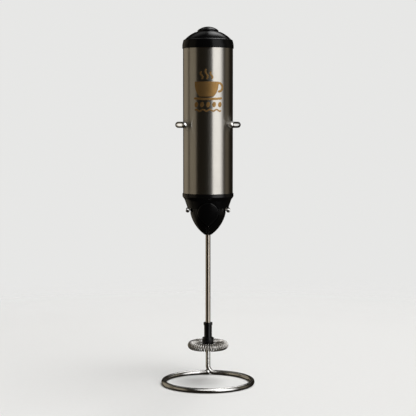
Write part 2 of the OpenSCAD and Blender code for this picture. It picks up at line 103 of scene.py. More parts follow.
def unit(v):
    """Each vector of an array at length one."""
    return v / np.linalg.norm(v, axis=-1, keepdims=True)


def arc_line(centre, radius, start, end, steps):
    """Points of an arc: centre plus radius times (cos a, sin a), a going from start to end."""
    a = np.radians(np.linspace(start, end, steps + 1))
    return np.array(centre) + radius * np.stack([np.cos(a), np.sin(a)], -1)


def bowed_line(p, q, sag, steps):
    """Points of a bowed line: p + (q - p) t, moved sideways by 4 sag t (1 - t) to its right."""
    p, q = np.array(p, float), np.array(q, float)
    side = unit(np.array([q[1] - p[1], p[0] - q[0]]))
    t = np.linspace(0, 1, steps + 1)[:, None]
    return p + (q - p) * t + side * sag * 4 * t * (1 - t)


def plain(points):
    """Points with nothing cut from their corners."""
    return [(r, z, 0.0) for r, z in points]


def rounded(corners, steps=6):
    """A line round its corners (r, z, cut).

    Each corner c is cut by a parabola from a to b, which stand at the distance cut from it on the
    sides before and after: (1 - t)^2 a + 2 t (1 - t) c + t^2 b.
    """
    table = np.array(corners, float)
    point, cut = table[:, :2], table[:, 2:]
    a = point + unit(np.roll(point, 1, 0) - point) * cut
    b = point + unit(np.roll(point, -1, 0) - point) * cut
    t = np.linspace(0, 1, steps)[None, :, None]
    curve = (1 - t) ** 2 * a[:, None] + 2 * t * (1 - t) * point[:, None] + t ** 2 * b[:, None]
    line = curve.reshape(-1, 2)
    apart = np.linalg.norm(line - np.roll(line, 1, 0), axis=1) > 1e-6
    return line[apart]


def filled(line, step, closed, guard=0.15):
    """The same line with points along its long sides.

    A side of length s that is over four guards long gets one point at the distance guard from each
    end, and even steps of at most step between them, so that smooth shading stays in the corners.
    """
    ahead = np.roll(line, -1, 0) if closed else line[1:]
    start = line if closed else line[:-1]
    span = np.linalg.norm(ahead - start, axis=1)
    count = np.where(span > 4 * guard, 2 + np.ceil(span / step).astype(int), 1)
    side = np.repeat(np.arange(len(span)), count)
    k = np.arange(count.sum()) - np.repeat(np.cumsum(count) - count, count)
    inner = guard + (span[side] - 2 * guard) * (k - 1) / np.maximum(count[side] - 2, 1)
    t = np.where(k == 0, 0, inner / span[side])[:, None]
    points = start[side] * (1 - t) + ahead[side] * t
    return points if closed else np.concatenate([points, line[-1:]])


def edge_of_line(line, closed):
    """How sharply an outline turns at each point, 0 to 1: the turn over the length it takes."""
    before, after = line - np.roll(line, 1, 0), np.roll(line, -1, 0) - line
    turn = before[:, 0] * after[:, 1] - before[:, 1] * after[:, 0]
    reach = np.linalg.norm(before, axis=1) * np.linalg.norm(after, axis=1)
    angle = np.arcsin(np.clip(turn / np.maximum(reach, 1e-12), -1, 1))
    length = (np.linalg.norm(before, axis=1) + np.linalg.norm(after, axis=1)) / 2
    bend = np.abs(angle) / np.maximum(length, 1e-6)
    edge = np.clip(bend * 0.25, 0, 1)
    if not closed:
        edge[[0, -1]] = 0
    return edge


# ---------------------------------------------------------------- surfaces

def turned(line, axis, around=128):
    """Grid of a turned surface: point (i, j) is at the radius and height of line point i.

    Its angle round the axis is 2 pi j / around.
    """
    a = np.arange(around) * TAU / around
    r, z = line[:, :1], line[:, 1:]
    flat = np.ones_like(a)
    return np.stack([axis[0] + r * np.cos(a), axis[1] + r * np.sin(a), z * flat], -1)


def swept(path, across, radius, sides=24, loop=False):
    """Grid of a round wire: circles of the given radius round the points of a path.

    Each circle lies in the plane of two unit vectors: across, made square to the path's
    direction, and the product of direction and across.
    """
    ahead = np.roll(path, -1, 0) - np.roll(path, 1, 0) if loop else np.gradient(path, axis=0)
    along = unit(ahead)
    across = np.broadcast_to(across, path.shape)
    u = unit(across - (across * along).sum(1, keepdims=True) * along)
    v = np.cross(along, u)
    a = np.arange(sides) * TAU / sides
    reach = np.broadcast_to(radius, len(path))[:, None, None]
    circle = np.cos(a)[:, None] * u[:, None] + np.sin(a)[:, None] * v[:, None]
    return path[:, None] + reach * circle


def with_ends(path, across, radius, start_edge, end_edge, steps=6):
    """Path, across vectors and radii of a rod whose two ends are rounded off.

    Past each end the radius is r - e + e cos a while the path runs on by e sin a, for a from 0 to
    90 degrees, where e is the edge's own radius.
    """
    across = np.broadcast_to(across, path.shape)
    a = np.linspace(0, math.pi / 2, steps + 1)[1:-1]
    out, back = unit(path[-1] - path[-2]), unit(path[0] - path[1])
    head = path[-1] + out * end_edge * np.sin(a)[:, None]
    foot = path[0] + back * start_edge * np.sin(a[::-1])[:, None]
    radii = np.concatenate([radius - start_edge * (1 - np.cos(a[::-1])), np.full(len(path), radius),
                            radius - end_edge * (1 - np.cos(a))])
    ends = np.repeat(across[:1], len(a), 0), np.repeat(across[-1:], len(a), 0)
    return np.concatenate([foot, path, head]), np.concatenate([ends[0], across, ends[1]]), radii


def rod(path, across, radius, start_edge, end_edge, sides=24):
    """Grid of a rod with rounded ends along a path."""
    return swept(*with_ends(path, across, radius, start_edge, end_edge), sides=sides)


def ball(centre, radii, around=32, rows=16):
    """Grid of an ellipsoid: centre + (a cos v cos u, b cos v sin u, c sin v)."""
    v = np.linspace(-math.pi / 2, math.pi / 2, rows + 2)[1:-1, None]
    u = np.arange(around) * TAU / around
    x, y = np.cos(v) * np.cos(u), np.cos(v) * np.sin(u)
    z = np.sin(v) * np.ones_like(u)
    return np.array(centre) + np.stack([x, y, z], -1) * np.array(radii)


def grid_faces(rows, columns, loop, offset):
    """Faces of one grid, as four columns; in a fan round an end the last corner is -1.

    Point (i, j) joins (i, j + 1) and (i + 1, j). The columns close on themselves, and so do the
    rows if loop is set. Otherwise each end is closed round one extra point after the grid.
    """
    index = np.arange(rows * columns).reshape(rows, columns)
    here = index if loop else index[:-1]
    ahead = np.roll(index, -1, 0) if loop else index[1:]
    faces = [np.stack([here, np.roll(here, -1, 1), np.roll(ahead, -1, 1), ahead], -1).reshape(-1, 4)]
    if not loop:
        first, last = index[0], index[-1]
        size, none = rows * columns, np.full(columns, -1)
        faces.append(np.stack([np.roll(first, -1), first, np.full(columns, size), none], -1))
        faces.append(np.stack([last, np.roll(last, -1), np.full(columns, size + 1), none], -1))
    stack = np.concatenate(faces)
    return np.where(stack < 0, -1, stack + offset)


def facing_out(points, faces):
    """The faces, turned round if the volume that they hold comes out negative."""
    a, b, c = points[faces[:, 0]], points[faces[:, 1]], points[faces[:, 2]]
    d = points[np.where(faces[:, 3] < 0, faces[:, 2], faces[:, 3])]
    volume = (np.cross(a, b) * c).sum() + (np.cross(a, c) * d).sum()
    if volume >= 0:
        return faces
    return np.where(faces[:, 3:] < 0, faces[:, [1, 0, 2, 3]], faces[:, ::-1])


def solid(name, *grids, edges=None):
    """A mesh object of one or more closed grids, each given as (grid, loop)."""
    points, faces, edge, offset = [], [], [], 0
    for k, (grid, loop) in enumerate(grids):
        rows, columns = grid.shape[:2]
        flat = grid.reshape(-1, 3)
        if not loop:
            flat = np.concatenate([flat, grid[[0, -1]].mean(1)])
        mask = np.zeros(len(flat))
        if edges is not None and edges[k] is not None:
            mask[:rows * columns] = np.repeat(edges[k], columns)
        turned_out = facing_out(flat, grid_faces(rows, columns, loop, 0))
        faces.append(np.where(turned_out < 0, -1, turned_out + offset))
        points.append(flat)
        edge.append(mask)
        offset += len(flat)
    stack = np.concatenate(faces)
    quads, fans = stack[stack[:, 3] >= 0], stack[stack[:, 3] < 0][:, :3]
    mesh = bpy.data.meshes.new(name)
    mesh.from_pydata((np.concatenate(points) * MM).tolist(), [], quads.tolist() + fans.tolist())
    mesh.polygons.foreach_set("use_smooth", np.ones(len(mesh.polygons), bool))
    worn = mesh.attributes.new("edge", "FLOAT", "POINT")
    worn.data.foreach_set("value", np.concatenate(edge).astype(np.float32))
    mesh.update()
    obj = bpy.data.objects.new(name, mesh)
    bpy.context.scene.collection.objects.link(obj)
    return obj


def turned_solid(name, corners, axis, closed, step=3.0, around=128):
    """A turned piece from its outline's corners: a closed wall, or a body filled to the axis.

    A filled body's outline starts and ends on the axis, where fans of faces close it.
    """
    line = filled(rounded(corners), step, closed)
    if not closed:
        line = line[1:-1]
    return solid(name, (turned(line, axis, around), closed), edges=[edge_of_line(line, closed)])


def finish_piece(obj, body, nodes, finish):
    """Puts a piece on its body, in its finish, in place of the CAD nodes that it stands for."""
    obj.data.materials.append(look(finish))
    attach(obj, body)
    if nodes:
        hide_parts(*nodes)


# ---------------------------------------------------------------- finishes

def put(tree, kind, inputs=None, **settings):
    """Adds a node; each input is linked if a socket is given, otherwise set."""
    node = tree.nodes.new(kind)
    for key, value in settings.items():
        setattr(node, key, value)
    for key, value in (inputs or {}).items():
        socket = node.inputs[key]
        if isinstance(value, bpy.types.NodeSocket):
            tree.links.new(value, socket)
        else:
            socket.default_value = value
    return node


def math_node(tree, operation, *values):
    """Output of a Math node on numbers or sockets."""
    return put(tree, "ShaderNodeMath", dict(enumerate(values)), operation=operation).outputs[0]


def times(tree, first, second):
    """Product of two numbers or sockets."""
    return math_node(tree, "MULTIPLY", first, second)


def clamped(tree, value):
    """The value held between 0 and 1."""
    return put(tree, "ShaderNodeClamp", {0: value}).outputs[0]


def noise(tree, where, scale, detail, **more):
    """Value of a noise texture."""
    inputs = {"Vector": where, "Scale": scale, "Detail": detail, **more}
    return put(tree, "ShaderNodeTexNoise", inputs).outputs["Fac"]


def blend_colour(tree, mask, first, second):
    """Mix of two colours by a mask."""
    inputs = {0: mask, 6: first, 7: second}
    return put(tree, "ShaderNodeMix", inputs, data_type="RGBA").outputs[2]


def height_of(tree, vector):
    """The Z part of a vector."""
    return put(tree, "ShaderNodeSeparateXYZ", {0: vector}).outputs["Z"]


def rgba(colour):
    """A colour with full cover."""
    return (*colour, 1.0)


def brushed_lines(tree, given):
    """Fine drawn or brushed lines: noise on coordinates stretched by a scale for each axis."""
    scaled = put(tree, "ShaderNodeVectorMath", {0: given["Vector"], 1: given["Scale"]},
                 operation="MULTIPLY").outputs[0]
    return noise(tree, scaled, 1.0, given["Detail"], Roughness=0.6)


def handling_smudges(tree, given):
    """Handling marks: broad noise with a share of fine noise, over a threshold."""
    where, size = given["Vector"], given["Size"]
    fine = noise(tree, where, times(tree, size, 6.0), 4.0)
    both = math_node(tree, "MULTIPLY_ADD", fine, 0.35, noise(tree, where, size, 3.0))
    low = math_node(tree, "SUBTRACT", both, given["Threshold"])
    return clamped(tree, times(tree, low, 2.5))


def moulding_grain(tree, given):
    """Moulding grain as a height: fine cells softened by noise."""
    where, scale = given["Vector"], given["Scale"]
    cells = put(tree, "ShaderNodeTexVoronoi", {"Vector": where, "Scale": scale},
                feature="SMOOTH_F1").outputs["Distance"]
    fine = noise(tree, where, times(tree, scale, 0.4), 2.0)
    return math_node(tree, "MULTIPLY_ADD", fine, 0.6, cells)


def edge_wear(tree, given):
    """Edge wear: the piece's own edge value, broken up by noise."""
    broken = times(tree, noise(tree, given["Vector"], 700.0, 4.0), given["Edge"])
    return clamped(tree, times(tree, times(tree, broken, given["Amount"]), 2.0))


def lying_dust(tree, given):
    """Dust: fine specks, most of them where the surface looks up."""
    specks = noise(tree, given["Vector"], 3500.0, 2.0)
    sharp = put(tree, "ShaderNodeMapRange",
                {"Value": specks, "From Min": 0.62, "From Max": 0.75}).outputs[0]
    lying = math_node(tree, "MAXIMUM", height_of(tree, given["Normal"]), 0.15)
    return times(tree, times(tree, sharp, lying), given["Amount"])


def ramp(tree, first, second, softness):
    """A smooth step from 0 to 1 as first passes second, over a width of softness."""
    part = math_node(tree, "DIVIDE", math_node(tree, "SUBTRACT", first, second), softness)
    return put(tree, "ShaderNodeMapRange", {"Value": part, "From Min": -0.5, "From Max": 0.5},
               interpolation_type="SMOOTHSTEP").outputs[0]


def light_panel(tree, given):
    """Light of one soft panel: smooth ramps at its four edges, multiplied, in its colour."""
    azimuth, elevation, rim = given["Azimuth"], given["Elevation"], given["Rim"]
    across = times(tree, ramp(tree, azimuth, given["Left"], given["Left Edge"]),
                   ramp(tree, given["Right"], azimuth, given["Right Edge"]))
    upward = times(tree, ramp(tree, elevation, given["Bottom"], rim),
                   ramp(tree, given["Top"], elevation, rim))
    light = times(tree, times(tree, across, upward), given["Strength"])
    return put(tree, "ShaderNodeVectorMath", {0: given["Colour"], "Scale": light},
               operation="SCALE").outputs[0]


# Each shared effect: what works it out, its output, and its inputs with their defaults.
EFFECTS = {
    "brushed_lines": (brushed_lines, "Lines",
                      {"Vector": None, "Scale": (60, 60, 4000), "Detail": 3.0}),
    "handling_smudges": (handling_smudges, "Mask",
                         {"Vector": None, "Size": 70.0, "Threshold": 0.5}),
    "moulding_grain": (moulding_grain, "Height", {"Vector": None, "Scale": 2600.0}),
    "edge_wear": (edge_wear, "Mask", {"Vector": None, "Edge": 0.0, "Amount": 0.5}),
    "dust": (lying_dust, "Mask", {"Vector": None, "Normal": None, "Amount": 0.2}),
    "light_panel": (light_panel, "Light",
                    {"Azimuth": 0.0, "Elevation": 0.0, "Left": 0.0, "Right": 0.0, "Bottom": 0.0,
                     "Top": 0.0, "Left Edge": 0.1, "Right Edge": 0.1, "Rim": 0.2, "Colour": None,
                     "Strength": 1.0}),
}
# The outputs that are vectors; the others are numbers.
VECTOR_OUTPUTS = ("Light",)


def effect(tree, name, inputs):
    """Output of a shared effect, which is made as a node group at its first use."""
    group = bpy.data.node_groups.get(name)
    if group is None:
        work_out, result, defaults = EFFECTS[name]
        group = bpy.data.node_groups.new(name, "ShaderNodeTree")
        for label, default in defaults.items():
            kind = "NodeSocketFloat" if isinstance(default, float) else "NodeSocketVector"
            socket = group.interface.new_socket(label, in_out="INPUT", socket_type=kind)
            if default is not None:
                socket.default_value = default
        kind = "NodeSocketVector" if result in VECTOR_OUTPUTS else "NodeSocketFloat"
        group.interface.new_socket(result, in_out="OUTPUT", socket_type=kind)
        given = group.nodes.new("NodeGroupInput").outputs
        end = group.nodes.new("NodeGroupOutput")
        group.links.new(work_out(group, given), end.inputs[0])
    return put(tree, "ShaderNodeGroup", inputs, node_tree=group).outputs[0]


DUST = (0.45, 0.43, 0.40)


def surface(name, colour, roughness, metallic=0.0, specular=0.5, anisotropic=0.0, turn=0.0,
            streaks=None, streak_tint=0.0, streak_rough=0.0, streak_bump=0.0, smudge=0.1,
            smudge_size=70.0, grain=0.0, grain_scale=2600.0, wear=0.0, wear_colour=None, dust=0.05,
            colour_socket=None, metallic_socket=None):
    """A finish with lines, handling marks, moulding grain, worn edges and dust over one colour."""
    found = bpy.data.materials.get(name)
    if found:
        return found
    material = bpy.data.materials.new(name)
    material.use_nodes = True
    tree = material.node_tree
    shader = tree.nodes["Principled BSDF"]
    for key, value in (("Metallic", metallic), ("Specular IOR Level", specular),
                       ("Anisotropic", anisotropic), ("Anisotropic Rotation", turn)):
        shader.inputs[key].default_value = value
    place = tree.nodes.new("ShaderNodeTexCoord")
    where, normal = place.outputs["Object"], place.outputs["Normal"]
    base = rgba(colour) if colour_socket is None else colour_socket(tree, where, normal)
    if metallic_socket:
        tree.links.new(metallic_socket(tree, where, normal), shader.inputs["Metallic"])
    height = None
    marks = effect(tree, "handling_smudges", {"Vector": where, "Size": smudge_size})
    rough = math_node(tree, "MULTIPLY_ADD", marks, smudge, roughness)
    if streaks:
        lines = effect(tree, "brushed_lines", {"Vector": where, "Scale": streaks})
        centred = math_node(tree, "SUBTRACT", lines, 0.5)
        rough = math_node(tree, "MULTIPLY_ADD", centred, streak_rough, rough)
        if streak_tint:
            shade = math_node(tree, "MULTIPLY_ADD", centred, streak_tint, 0.5)
            base = blend_colour(tree, shade, rgba([c * 0.6 for c in colour]),
                                rgba([min(c * 1.4, 1.0) for c in colour]))
        height = times(tree, centred, streak_bump)
    if grain:
        dents = effect(tree, "moulding_grain", {"Vector": where, "Scale": grain_scale})
        low = times(tree, dents, grain)
        height = low if height is None else math_node(tree, "ADD", height, low)
    if wear:
        edge = put(tree, "ShaderNodeAttribute", attribute_name="edge").outputs["Fac"]
        worn = effect(tree, "edge_wear", {"Vector": where, "Edge": edge, "Amount": wear})
        base = blend_colour(tree, worn, base, rgba(wear_colour))
        rough = math_node(tree, "MULTIPLY_ADD", worn, -0.1, rough)
    if dust:
        lying = effect(tree, "dust", {"Vector": where, "Normal": normal, "Amount": dust})
        base = blend_colour(tree, lying, base, rgba(DUST))
        rough = math_node(tree, "MULTIPLY_ADD", lying, 0.4, rough)
    if isinstance(base, bpy.types.NodeSocket):
        tree.links.new(base, shader.inputs["Base Color"])
    else:
        shader.inputs["Base Color"].default_value = base
    tree.links.new(clamped(tree, rough), shader.inputs["Roughness"])
    if height is not None:
        bump = put(tree, "ShaderNodeBump", {"Height": height, "Strength": 1.0, "Distance": 1.0})
        tree.links.new(bump.outputs[0], shader.inputs["Normal"])
    return material


# The shown finishes: the colour's setting, and the rest of the look.
LOOKS = {
    "bright_wire": ("wire_steel", dict(
        roughness=0.17, metallic=1.0, smudge=0.08, smudge_size=120.0, streaks=(900, 900, 900),
        streak_rough=0.06, streak_tint=0.10, streak_bump=2e-6, dust=0.04)),
    "brushed_tube": ("tube_steel", dict(
        roughness=0.36, metallic=1.0, anisotropic=0.98, turn=0.25, smudge=0.04, smudge_size=45.0,
        streaks=(25, 25, 5200), streak_rough=0.10, streak_tint=0.22, streak_bump=1e-6,
        wear=0.5, wear_colour=(0.75, 0.73, 0.70), dust=0.03)),
    "gloss_black_plastic": ("black", dict(
        roughness=0.17, specular=0.15, smudge=0.08, smudge_size=90.0, grain=2e-6,
        grain_scale=2200.0, wear=0.25, wear_colour=(0.03, 0.03, 0.03), dust=0.06)),
    "satin_black_plastic": ("black", dict(
        roughness=0.20, specular=0.30, smudge=0.08, smudge_size=110.0, grain=4e-6,
        grain_scale=3000.0, wear=0.35, wear_colour=(0.03, 0.03, 0.03), dust=0.06)),
    "bronze_print": ("print", dict(
        roughness=0.42, metallic=0.75, smudge=0.10, smudge_size=300.0, grain=1.5e-6,
        grain_scale=5000.0, dust=0.0)),
    "ground_rod": ("shaft_steel", dict(
        roughness=0.36, metallic=1.0, anisotropic=0.95, turn=0.25, smudge=0.04, smudge_size=150.0,
        streaks=(60, 60, 6000), streak_rough=0.08, streak_tint=0.15, streak_bump=1e-6,
        dust=0.03)),
    "whisk_wire": ("whisk_steel", dict(
        roughness=0.20, metallic=1.0, smudge=0.12, smudge_size=200.0, streaks=(1500, 1500, 1500),
        streak_rough=0.08, streak_tint=0.2, dust=0.03)),
}


def look(name):
    """The shown finish of that name."""
    setting, values = LOOKS[name]
    return surface(name, getattr(sizes("finishes"), setting), **values)


# ---------------------------------------------------------------- settings

def length(name, description, default, **more):
    """A length in metres with its label."""
    return FloatProperty(name=name, description=description, default=default, unit="LENGTH",
                         subtype="DISTANCE", precision=5, **more)


def number(name, description, default, **more):
    """A plain number, an angle or a power with its label."""
    return FloatProperty(name=name, description=description, default=default, **more)


def colour(name, description, default):
    """A colour with its label."""
    return FloatVectorProperty(name=name, description=description, default=default, size=3,
                               subtype="COLOR", min=0.0, max=1.0)


ANGLE = dict(subtype="ANGLE", unit="ROTATION")


class StandSizes(bpy.types.PropertyGroup):
    """Sizes of the wire stand that the CAD boxes don't give."""
    wire_d: length("Wire", "Thickness of the base ring's wire", 0.0032, min=0.002, max=0.005)
    butt_at: number("Ring's end", "Where the base ring's loose end stops", math.radians(92.0),
                    **ANGLE)
    clip_edge: length("Clip's edge", "Rounding of the lower clip's ends", 0.0004)
    weld_reach: length("Weld", "Half width of the weld between a clip and the post", 0.0026)


class HandleSizes(bpy.types.PropertyGroup):
    """Sizes of the tube, the cap and the button."""
    tube_wall: length("Tube's wall", "Thickness of the steel tube", 0.0005)
    band_h: length("Band", "Height of the upright band at the cap's foot", 0.005)
    hole_r: length("Button's hole", "Radius of the hole in the cap", 0.00715)
    button_r: length("Button", "Radius of the power button", 0.007)
    crown_r: length("Crown", "Radius of the button's domed top", 0.011)


class NoseSizes(bpy.types.PropertyGroup):
    """Sizes of the nose and its release tab."""
    drop: length("Drop", "Height of the nose under its ledge", 0.0179)
    ledge_r: length("Ledge", "Radius of the ledge that rests on the clip", 0.0136)
    waist_r: length("Waist", "Radius just under the ledge", 0.0117)
    tab_r: length("Tab", "Radius of the release tab's round top", 0.0071)
    tab_point_r: length("Tab's point", "Radius of the release tab's lower end", 0.0012)
    tab_gap: length("Gap", "Gap round the release tab", 0.00035)
    tab_edge: length("Tab's edge", "Rounding of the release tab's edge", 0.0006)


class EmblemSizes(bpy.types.PropertyGroup):
    """Size and place of the printed cup."""
    height: length("Height", "Height of the middle of the print over the floor", 0.1950)
    lift: length("Ink", "Thickness of the ink over the tube", 0.00004)
    scale: number("Scale", "Size of the print", 1.0, min=0.5, max=1.3)


class WhiskSizes(bpy.types.PropertyGroup):
    """Sizes of the whisk."""
    hub_r: length("Socket", "Radius of the socket", 0.0026)
    hoop_wire_r: length("Hoop's wire", "Half thickness of the hoop's wire", 0.0005)
    coil_wire_r: length("Coil's wire", "Half thickness of the coil's wire", 0.00035)
    turns: IntProperty(name="Turns", description="Turns in each half of the coil", default=24,
                       min=12, max=28)
    slack: number("Slack", "How much wider the turns stand at a spoke", 0.65, min=0.0, max=0.9)


class Finishes(bpy.types.PropertyGroup):
    """Colours of the finishes."""
    wire_steel: colour("Wire", "Bright steel of the stand", (0.66, 0.65, 0.63))
    tube_steel: colour("Tube", "Brushed steel of the handle", (0.62, 0.595, 0.55))
    shaft_steel: colour("Shaft", "Ground steel of the whisk's shaft", (0.62, 0.55, 0.47))
    whisk_steel: colour("Whisk", "Steel of the whisk's wires", (0.60, 0.58, 0.55))
    black: colour("Black", "Black plastic", (0.0035, 0.0035, 0.0038))
    print: colour("Print", "Bronze print on the tube", (0.38, 0.22, 0.075))


class StageSettings(bpy.types.PropertyGroup):
    """Camera, lights and floor."""
    lens: number("Lens", "Focal length on a 36 mm frame, in millimetres", 106.56)
    distance: length("Distance", "From the camera to the frother's axis", 0.817)
    camera_z: length("Camera's height", "Height of the camera over the floor", 0.1748)
    tilt: number("Tilt", "How far the camera looks down", math.radians(4.063), **ANGLE)
    floor_r: length("Floor", "Radius of the floor, over which it fades out", 0.62)
    backdrop: colour("Backdrop", "Plain pale background", (0.80, 0.80, 0.79))
    floor: colour("Floor", "Pale floor", (0.80, 0.80, 0.79))
    room: colour("Room", "Light of the dark room round the panels", (0.017, 0.0145, 0.0105))
    key: number("Key light", "Strength of the white panels", 1.88)
    side: number("Side light", "Strength of the warm panels", 0.31)
    overhead: number("Overhead", "Power of the lamp over the floor", 72.0, unit="POWER")
    clip_light: number("Clip light", "Power of each lamp on the clips", 0.45, unit="POWER")
    wire_light: number("Wire light", "Power of the lamp on the wires", 2.8, unit="POWER")


# ---------------------------------------------------------------- stand

def stand_path(s):
    """Middle line of the stand's wire, and the vectors across it.

    It goes once round the base ring, p = (R cos a, R sin a), from the loose end to where the bend
    starts; turns up through a quarter circle in the plane of its own direction, p = p0 + t r sin b
    + z r (1 - cos b); and goes straight up the post.
    """
    low, high = node_box("stand_wire")
    wire = s.wire_d / MM / 2
    ring = (high[0] - low[0]) / 2 - wire
    centre_y, post_y = low[1] + ring + wire, high[1] - wire
    bend = math.sqrt((post_y - centre_y) ** 2 - ring ** 2)
    leave = math.atan2(ring, bend)
    a = np.linspace(s.butt_at, leave + TAU, 240)
    out = level(a)
    round_base = out * ring + (0, centre_y, wire)
    along = np.array([-math.sin(leave), math.cos(leave), 0])
    b = np.linspace(0, math.pi / 2, 25)[1:, None]
    up = round_base[-1] + bend * (along * np.sin(b) + UP * (1 - np.cos(b)))
    z = np.linspace(up[-1, 2], high[2] - wire, 60)[1:, None]
    post = up[-1] + UP * (z - up[-1, 2])
    across = np.concatenate([out, np.repeat(out[-1:], len(up) + len(post), 0)])
    return np.concatenate([round_base, up, post]), across, wire


class FROTHER_OT_stand(bpy.types.Operator):
    """Build the base ring, the post and the bead that closes the ring"""
    bl_idname = "frother.stand"
    bl_label = "Base ring and post"

    def execute(self, context):
        path, across, wire = stand_path(sizes("stand"))
        obj = solid("base_and_post", (rod(path, across, wire, wire * 0.2, wire), False))
        finish_piece(obj, "stand", ["stand_wire"], "bright_wire")

        low, high = node_box("foot_weld")
        middle = (low + high) / 2
        grid = ball(middle, (high - low) / 2)
        waves, wave_depth = 3, 0.02
        around = np.linspace(0, waves * TAU, grid.shape[1], endpoint=False)
        ripple = 1 - wave_depth * (1 + np.sin(around))[None, :, None]
        bead = solid("foot_bead", (middle + (grid - middle) * ripple, False))
        finish_piece(bead, "stand", ["foot_weld"], "bright_wire")
        return {"FINISHED"}


def clip_places(node):
    """A clip's wire radius, the radius of its middle line and that line's middle."""
    low, high = node_box(node)
    wire = (high[2] - low[2]) / 2
    ring = (high[0] - low[0]) / 2 - wire
    return wire, ring, np.array([0, high[1] - ring - wire, (low[2] + high[2]) / 2])


def clip_piece(name, node, path, edge, weld_depth, sides=24):
    """Builds a clip from its middle line, with a bead of weld between it and the post."""
    wire, ring, middle = clip_places(node)
    sunk = 0.3
    weld_y = middle[1] + ring + wire - sunk
    weld = ball((0, weld_y, middle[2]), (sizes("stand").weld_reach / MM, weld_depth, wire * 0.8))
    obj = solid(name, (rod(middle + path, UP, wire, edge, edge, sides), False), (weld, False))
    finish_piece(obj, "stand", [node], "bright_wire")


class FROTHER_OT_clips(bpy.types.Operator):
    """Build the two spring clips that hold the frother"""
    bl_idname = "frother.clips"
    bl_label = "Clips"

    def execute(self, context):
        wire, ring, middle = clip_places("upper_clip")
        wrap = math.asin((middle[1] - wire - node_box("upper_clip")[0][1]) / ring)
        path = ring * level(np.linspace(-wrap, math.pi + wrap, 160))
        clip_piece("tube_clip", "upper_clip", path, wire, 1.0, 28)

        wire, ring, middle = clip_places("lower_clip")
        edge = sizes("stand").clip_edge / MM
        start = node_box("lower_clip")[0][1] + edge - middle[1]
        y = np.linspace(start, 0, 12, endpoint=False)[:, None]
        arm = y * np.array([0, 1, 0]) + np.array([ring, 0, 0])
        half = ring * level(np.linspace(0, math.pi, 80))
        path = np.concatenate([arm, half, arm[::-1] * np.array([-1, 1, 1])])
        clip_piece("nose_clip", "lower_clip", path, edge, 0.9)
        return {"FINISHED"}


# ---------------------------------------------------------------- handle

class FROTHER_OT_tube(bpy.types.Operator):
    """Build the brushed steel tube"""
    bl_idname = "frother.tube"
    bl_label = "Tube"

    def execute(self, context):
        foot, top = node_heights("handle_tube")
        outer = node_radius("handle_tube")
        inner = outer - sizes("handle").tube_wall / MM
        edge = 0.12
        corners = [(outer, foot, edge), (outer, top, edge), (inner, top, edge), (inner, foot, edge)]
        obj = turned_solid("tube_shell", corners, node_axis("handle_tube"), True, 4.0, 192)
        finish_piece(obj, "sleeve", ["handle_tube"], "brushed_tube")
        return {"FINISHED"}


class FROTHER_OT_cap(bpy.types.Operator):
    """Build the black cap with its low dome"""
    bl_idname = "frother.cap"
    bl_label = "Cap"

    def execute(self, context):
        s = sizes("handle")
        foot, dome = node_heights("top_cap")
        gap = 0.02
        seat = node_heights("handle_tube")[1] + gap
        outer = node_radius("top_cap")
        hole = s.hole_r / MM
        spigot = node_radius("handle_tube") - s.tube_wall / MM - 0.05
        band = seat + s.band_h / MM - gap
        shoulder, lip = (outer - 1.5, band + 0.75), (hole + 1.05, dome)
        inner_shoulder, inner_lip = (outer - 2.8, band - 0.85), (hole + 0.85, dome - 1.7)
        corners = ([(outer, seat, 0.15), (outer, seat + 2.38, 0.8)]
                   + plain(bowed_line((outer - 0.6, band), shoulder, 0.25, 5)[:-1])
                   + plain(bowed_line(shoulder, lip, 0.5, 16)[:-1])
                   + [lip + (0.3,), (hole, dome, 0.25), (hole, inner_lip[1], 0.1)]
                   + plain(bowed_line(inner_lip, inner_shoulder, -0.5, 8))
                   + [(inner_shoulder[0], foot, 0.15), (spigot, foot, 0.3), (spigot, seat, 0.0)])
        obj = turned_solid("cap_shell", corners, node_axis("top_cap"), True, 2.0, 160)
        finish_piece(obj, "sleeve", ["top_cap"], "gloss_black_plastic")
        return {"FINISHED"}


class FROTHER_OT_button(bpy.types.Operator):
    """Build the domed power button"""
    bl_idname = "frother.button"
    bl_label = "Power button"

    def execute(self, context):
        s = sizes("handle")
        foot, top = node_heights("power_button")
        side, crown, flange = s.button_r / MM, s.crown_r / MM, node_radius("power_button")
        edge_r, edge_drop = side - 0.4, 0.5
        sweep = math.degrees(math.asin(edge_r / crown))
        dome = arc_line((0, top - crown), crown, 90, 90 - sweep, 14)
        edge_z = dome[-1, 1]
        flange_z, flange_h, stem = top - 5.7, 1, 2.6
        corners = (plain(dome[:-1]) + [(edge_r, edge_z, 0.35), (side, edge_z - edge_drop, 0.25),
                   (side, flange_z, 0.1), (flange, flange_z, 0.15),
                   (flange, flange_z - flange_h, 0.15), (stem, flange_z - flange_h, 0.1),
                   (stem, foot, 0.15), (0, foot, 0.0)])
        obj = turned_solid("push_button", corners, node_axis("power_button"), False, 2.0, 96)
        finish_piece(obj, "button", ["power_button"], "gloss_black_plastic")
        return {"FINISHED"}


# ---------------------------------------------------------------- print

def stroke(u, v, width, tube_r, axis, height, lift, sides=24):
    """Grid of one printed stroke.

    Its middle line (u, v) lies in the unrolled tube, u round it and v up it. Across the line
    stands a flat ellipse, width to each side and lift over the steel, and the whole is rolled
    round the tube: x = (R + h) sin(u / R), y = -(R + h) cos(u / R).
    """
    line = np.stack([u, v], -1)
    along = unit(np.gradient(line, axis=0))
    side = np.stack([along[:, 1], -along[:, 0]], -1)
    a = np.arange(sides) * TAU / sides
    flat = line[:, None] + side[:, None] * (np.cos(a)[:, None] * width[:, None, None])
    h = tube_r + lift * np.sin(a) * np.ones((len(u), 1))
    turn = flat[..., 0] / tube_r
    return np.stack([axis[0] + h * np.sin(turn), axis[1] - h * np.cos(turn),
                     height + flat[..., 1]], -1)


